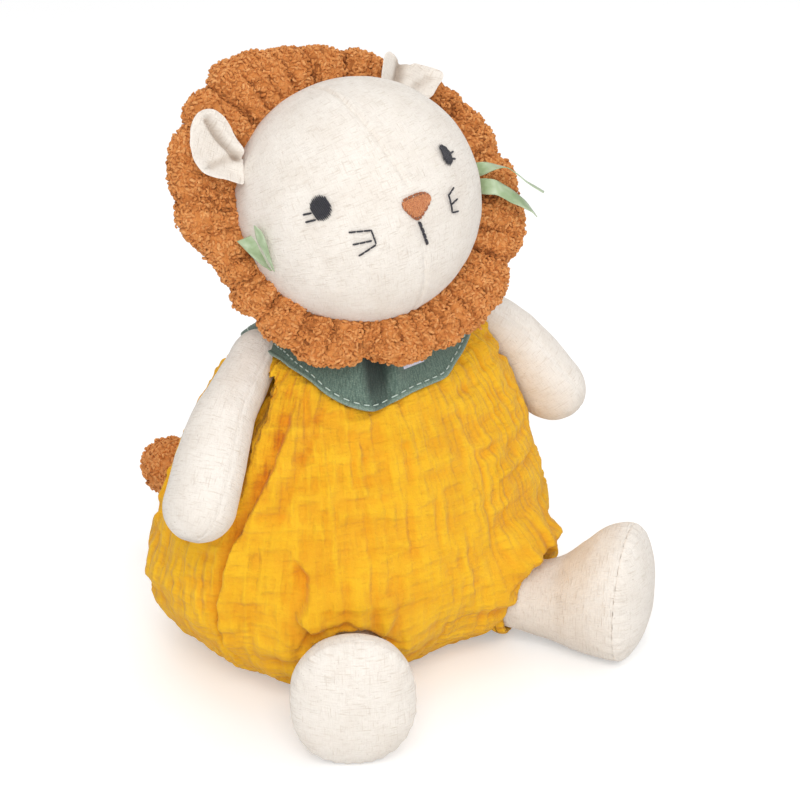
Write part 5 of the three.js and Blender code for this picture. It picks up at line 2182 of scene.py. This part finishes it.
@dataclass
class Tail:
    """A short linen stem with a round tuft of curls.

    Attributes:
        figure: the shared sizes.
        wardrobe: the finishes.
        curls: the loops that cover the tuft.
        root: where it is sewn on.
        yaw: how far it points to the lion's right, in degrees.
        length: from its root to the tuft's middle.
        tuft: radius of the tuft's backing.
        stem: radius of the stem.
        loops: round the tuft.
    """

    figure: Figure
    wardrobe: Wardrobe
    curls: Curls
    root: tuple[float, float, float] = (-6.0, 69.0, 40.0)
    yaw: float = 29.0
    length: float = 40.0
    tuft: float = 12.6
    stem: float = 4.2
    loops: int = 1000

    def build(self) -> None:
        """The stem and the tuft, both on the tail's body."""
        a = math.radians(self.yaw)
        ahead = np.array([-math.sin(a), math.cos(a), 0.0])
        across = np.cross(ahead, UP)
        root = np.array(self.root)

        def stem(way: Array, angle: Array) -> Array:
            """A tube with a ball at its root.

            Args:
                way: along it, 0 to 1.
                angle: round it.

            Returns:
                A place for each.
            """
            s = -6 + way * 40
            radius = np.where(s < 0, np.sqrt(np.clip(36 - s * s, 0, None)), self.stem + 1.8 * bump(s, 3))
            radius = radius * np.sqrt(np.clip(1 - way**14, 0, 1)) + 0.25 * noise(flat(angle * 2, s / 4, 0), 81)
            return (root + s[:, None] * ahead + (np.cos(angle) * radius)[:, None] * across
                    + (np.sin(angle) * radius)[:, None] * UP)

        piece, way, angle = round_ball("tail_cloth", 40, 60, stem)
        outward(piece)
        write_uv(piece, flat(angle * 4.5, way * 40), TURN * 4.5)
        self.wardrobe.dress(piece, "linen")
        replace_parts(piece, "tail_stem")
        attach(piece, "tail")
        centre = root + ahead * self.length

        def tuft(way: Array, angle: Array) -> Array:
            """The tuft's backing."""
            r = np.sin(way * math.pi)
            return centre + flat(r * np.cos(angle), r * np.sin(angle), -np.cos(way * math.pi)) * self.tuft

        base, _, _ = round_ball("tail_pile", 140, 90, tuft)
        p = corners(base)
        nub = 1 - np.clip(nubs(p / 2.3, 83), 0, 1)
        swell(base, 1.0 * noise(p / 7, 82, 2) + 1.3 * (nub - 0.6))
        # painted light and shade: the tuft's backing is lighter on its nubs and darker between them
        write_value(base, "tint", np.clip(0.2 + 0.6 * nub, 0, 1))
        self.wardrobe.dress(base, "boucle")
        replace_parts(base, "tail_pom")
        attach(base, "tail")
        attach(self.curls.cover("tail_curls", base, self.loops, np.zeros(len(p))), "tail")


@dataclass(frozen=True)
class Studio:
    """Floor, light and the camera at the photograph's angle, in metres.

    Attributes:
        azimuth: the camera's way round from the lion's front, in degrees.
        elevation: its way up, in degrees.
        distance: from the aim.
        aim: the place that it looks at.
        aim_pixel: where that place is in the picture.
        pixels: the picture's width.
        span: width of what it sees at the aim.
        sensor: the film's width, in millimetres.
        lamps: name, place, size and power of each lamp.
        air: strength of the white surround.
        glow: how far the floor is lifted to white where it is seen.
    """

    azimuth: float = -37.7
    elevation: float = 23.8
    distance: float = 1.0
    aim: tuple[float, float, float] = (0, 0, 0.120)
    aim_pixel: tuple[float, float] = (352.5, 365.8)
    pixels: float = 800
    span: float = 0.336
    sensor: float = 36.0
    lamps: tuple[tuple[str, tuple[float, float, float], float, float], ...] = (
        ("key", (-0.9, -1.2, 1.5), 1.0, 15.5), ("fill", (1.3, -0.9, 0.9), 1.2, 4.5),
        ("top", (0.1, 0.5, 1.7), 1.2, 6.5), ("low", (-1.0, -1.2, 0.3), 1.0, 7.5),
    )
    air: float = 0.56
    glow: float = 0.32

    def camera(self) -> None:
        """Places the camera."""
        data = bpy.data.cameras.new("camera")
        data.sensor_width = self.sensor
        data.lens = self.sensor * self.distance / self.span
        data.shift_x = (self.pixels / 2 - self.aim_pixel[0]) / self.pixels
        data.shift_y = (self.aim_pixel[1] - self.pixels / 2) / self.pixels
        made = bpy.data.objects.new("camera", data)
        bpy.context.scene.collection.objects.link(made)
        a, e = math.radians(self.azimuth), math.radians(self.elevation)
        back = Vector((math.sin(a) * math.cos(e), -math.cos(a) * math.cos(e), math.sin(e)))
        made.location = Vector(self.aim) + back * self.distance
        made.rotation_mode = "QUATERNION"
        made.rotation_quaternion = (-back).to_track_quat("-Z", "Y")
        bpy.context.scene.camera = made

    def floor(self) -> None:
        """A pale floor that keeps the lion's shadow."""
        grid = {"x_subdivisions": 2, "y_subdivisions": 2, "size": 12}
        piece = primitive("studio_floor", bpy.ops.mesh.primitive_grid_add, **grid)
        r = Recipe("floor_white")
        path = r.node("LightPath")
        glossy = r.maths("MAXIMUM", path.outputs["Is Glossy Ray"], path.outputs["Is Transmission Ray"])
        seen = r.maths("MAXIMUM", path.outputs["Is Camera Ray"], glossy)
        r.shade(base_color=(0.8, 0.8, 0.8, 1), roughness=1.0, emission_color=(1, 1, 1, 1),
                emission_strength=r.maths("MULTIPLY", seen, self.glow))
        piece.data.materials.append(r.material)
        piece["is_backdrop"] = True

    def light(self) -> None:
        """A white surround and broad soft lamps."""
        world = bpy.data.worlds.new("studio_air")
        world.use_nodes = True
        world.node_tree.nodes["Background"].inputs[0].default_value = (1, 1, 1, 1)
        world.node_tree.nodes["Background"].inputs[1].default_value = self.air
        bpy.context.scene.world = world
        for name, place, size, power in self.lamps:
            data = bpy.data.lights.new(name, "AREA")
            data.energy, data.size = power, size
            lamp = bpy.data.objects.new(name, data)
            bpy.context.scene.collection.objects.link(lamp)
            lamp.location = place
            lamp.rotation_mode = "QUATERNION"
            lamp.rotation_quaternion = (Vector(self.aim) - Vector(place)).to_track_quat("-Z", "Y")


def neck_gather(wardrobe: Wardrobe) -> None:
    """The gathered ball in the neck, between the head's seam and the romper's.

    Args:
        wardrobe: the finishes.
    """
    centre, radius = np.array(FIGURE.neck), 12.6

    def place(way: Array, angle: Array) -> Array:
        """A ball with 18 soft gathers."""
        r = np.sin(way * math.pi) * (1 + 0.03 * np.cos(angle * 18) * np.sin(way * math.pi))
        return centre + flat(r * np.cos(angle), r * np.sin(angle), -np.cos(way * math.pi)) * radius

    piece, way, angle = round_ball("neck_gather", 108, 24, place)
    write_uv(piece, flat(angle * radius, way * 40), TURN * radius)
    wardrobe.dress(piece, "linen")
    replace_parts(piece, "neck_stuffing")
    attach(piece, "neck")


def main() -> None:
    """Builds the looks round the frame, in order."""
    logging.basicConfig(level=logging.INFO, format="%(asctime)s %(message)s")
    for thing in list(bpy.data.objects):
        bpy.data.objects.remove(thing)
    Studio().camera()
    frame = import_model()
    bpy.context.scene.view_settings.view_transform = "Standard"
    wardrobe = Wardrobe()
    curls = Curls(wardrobe)
    torso = Torso(FIGURE, wardrobe)
    arms, legs = Arms(FIGURE, wardrobe), Legs(FIGURE, wardrobe)
    head, mane = Head(FIGURE, wardrobe), Mane(FIGURE, wardrobe, curls)
    torso.build()
    for side in Side:
        torso.cuff(side)
        arms.build(side)
        legs.build(side)
        legs.sole(side)
        mane.ear(side)
        mane.ribbon(side)
    head.build()
    head.face()
    mane.build()
    Neckerchief(FIGURE, wardrobe, torso).build()
    Tail(FIGURE, wardrobe, curls).build()
    neck_gather(wardrobe)
    for side in Side:
        wardrobe.dress(frame["nodes"][f"{side.word}_cuff_elastic"], "elastic")
    Studio().floor()
    Studio().light()
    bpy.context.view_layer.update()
    for number, piece in enumerate(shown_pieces(), 1):
        log.info("piece %d: %s, %d faces", number, piece.name, len(piece.data.polygons))


if __name__ == "__main__":
    main()
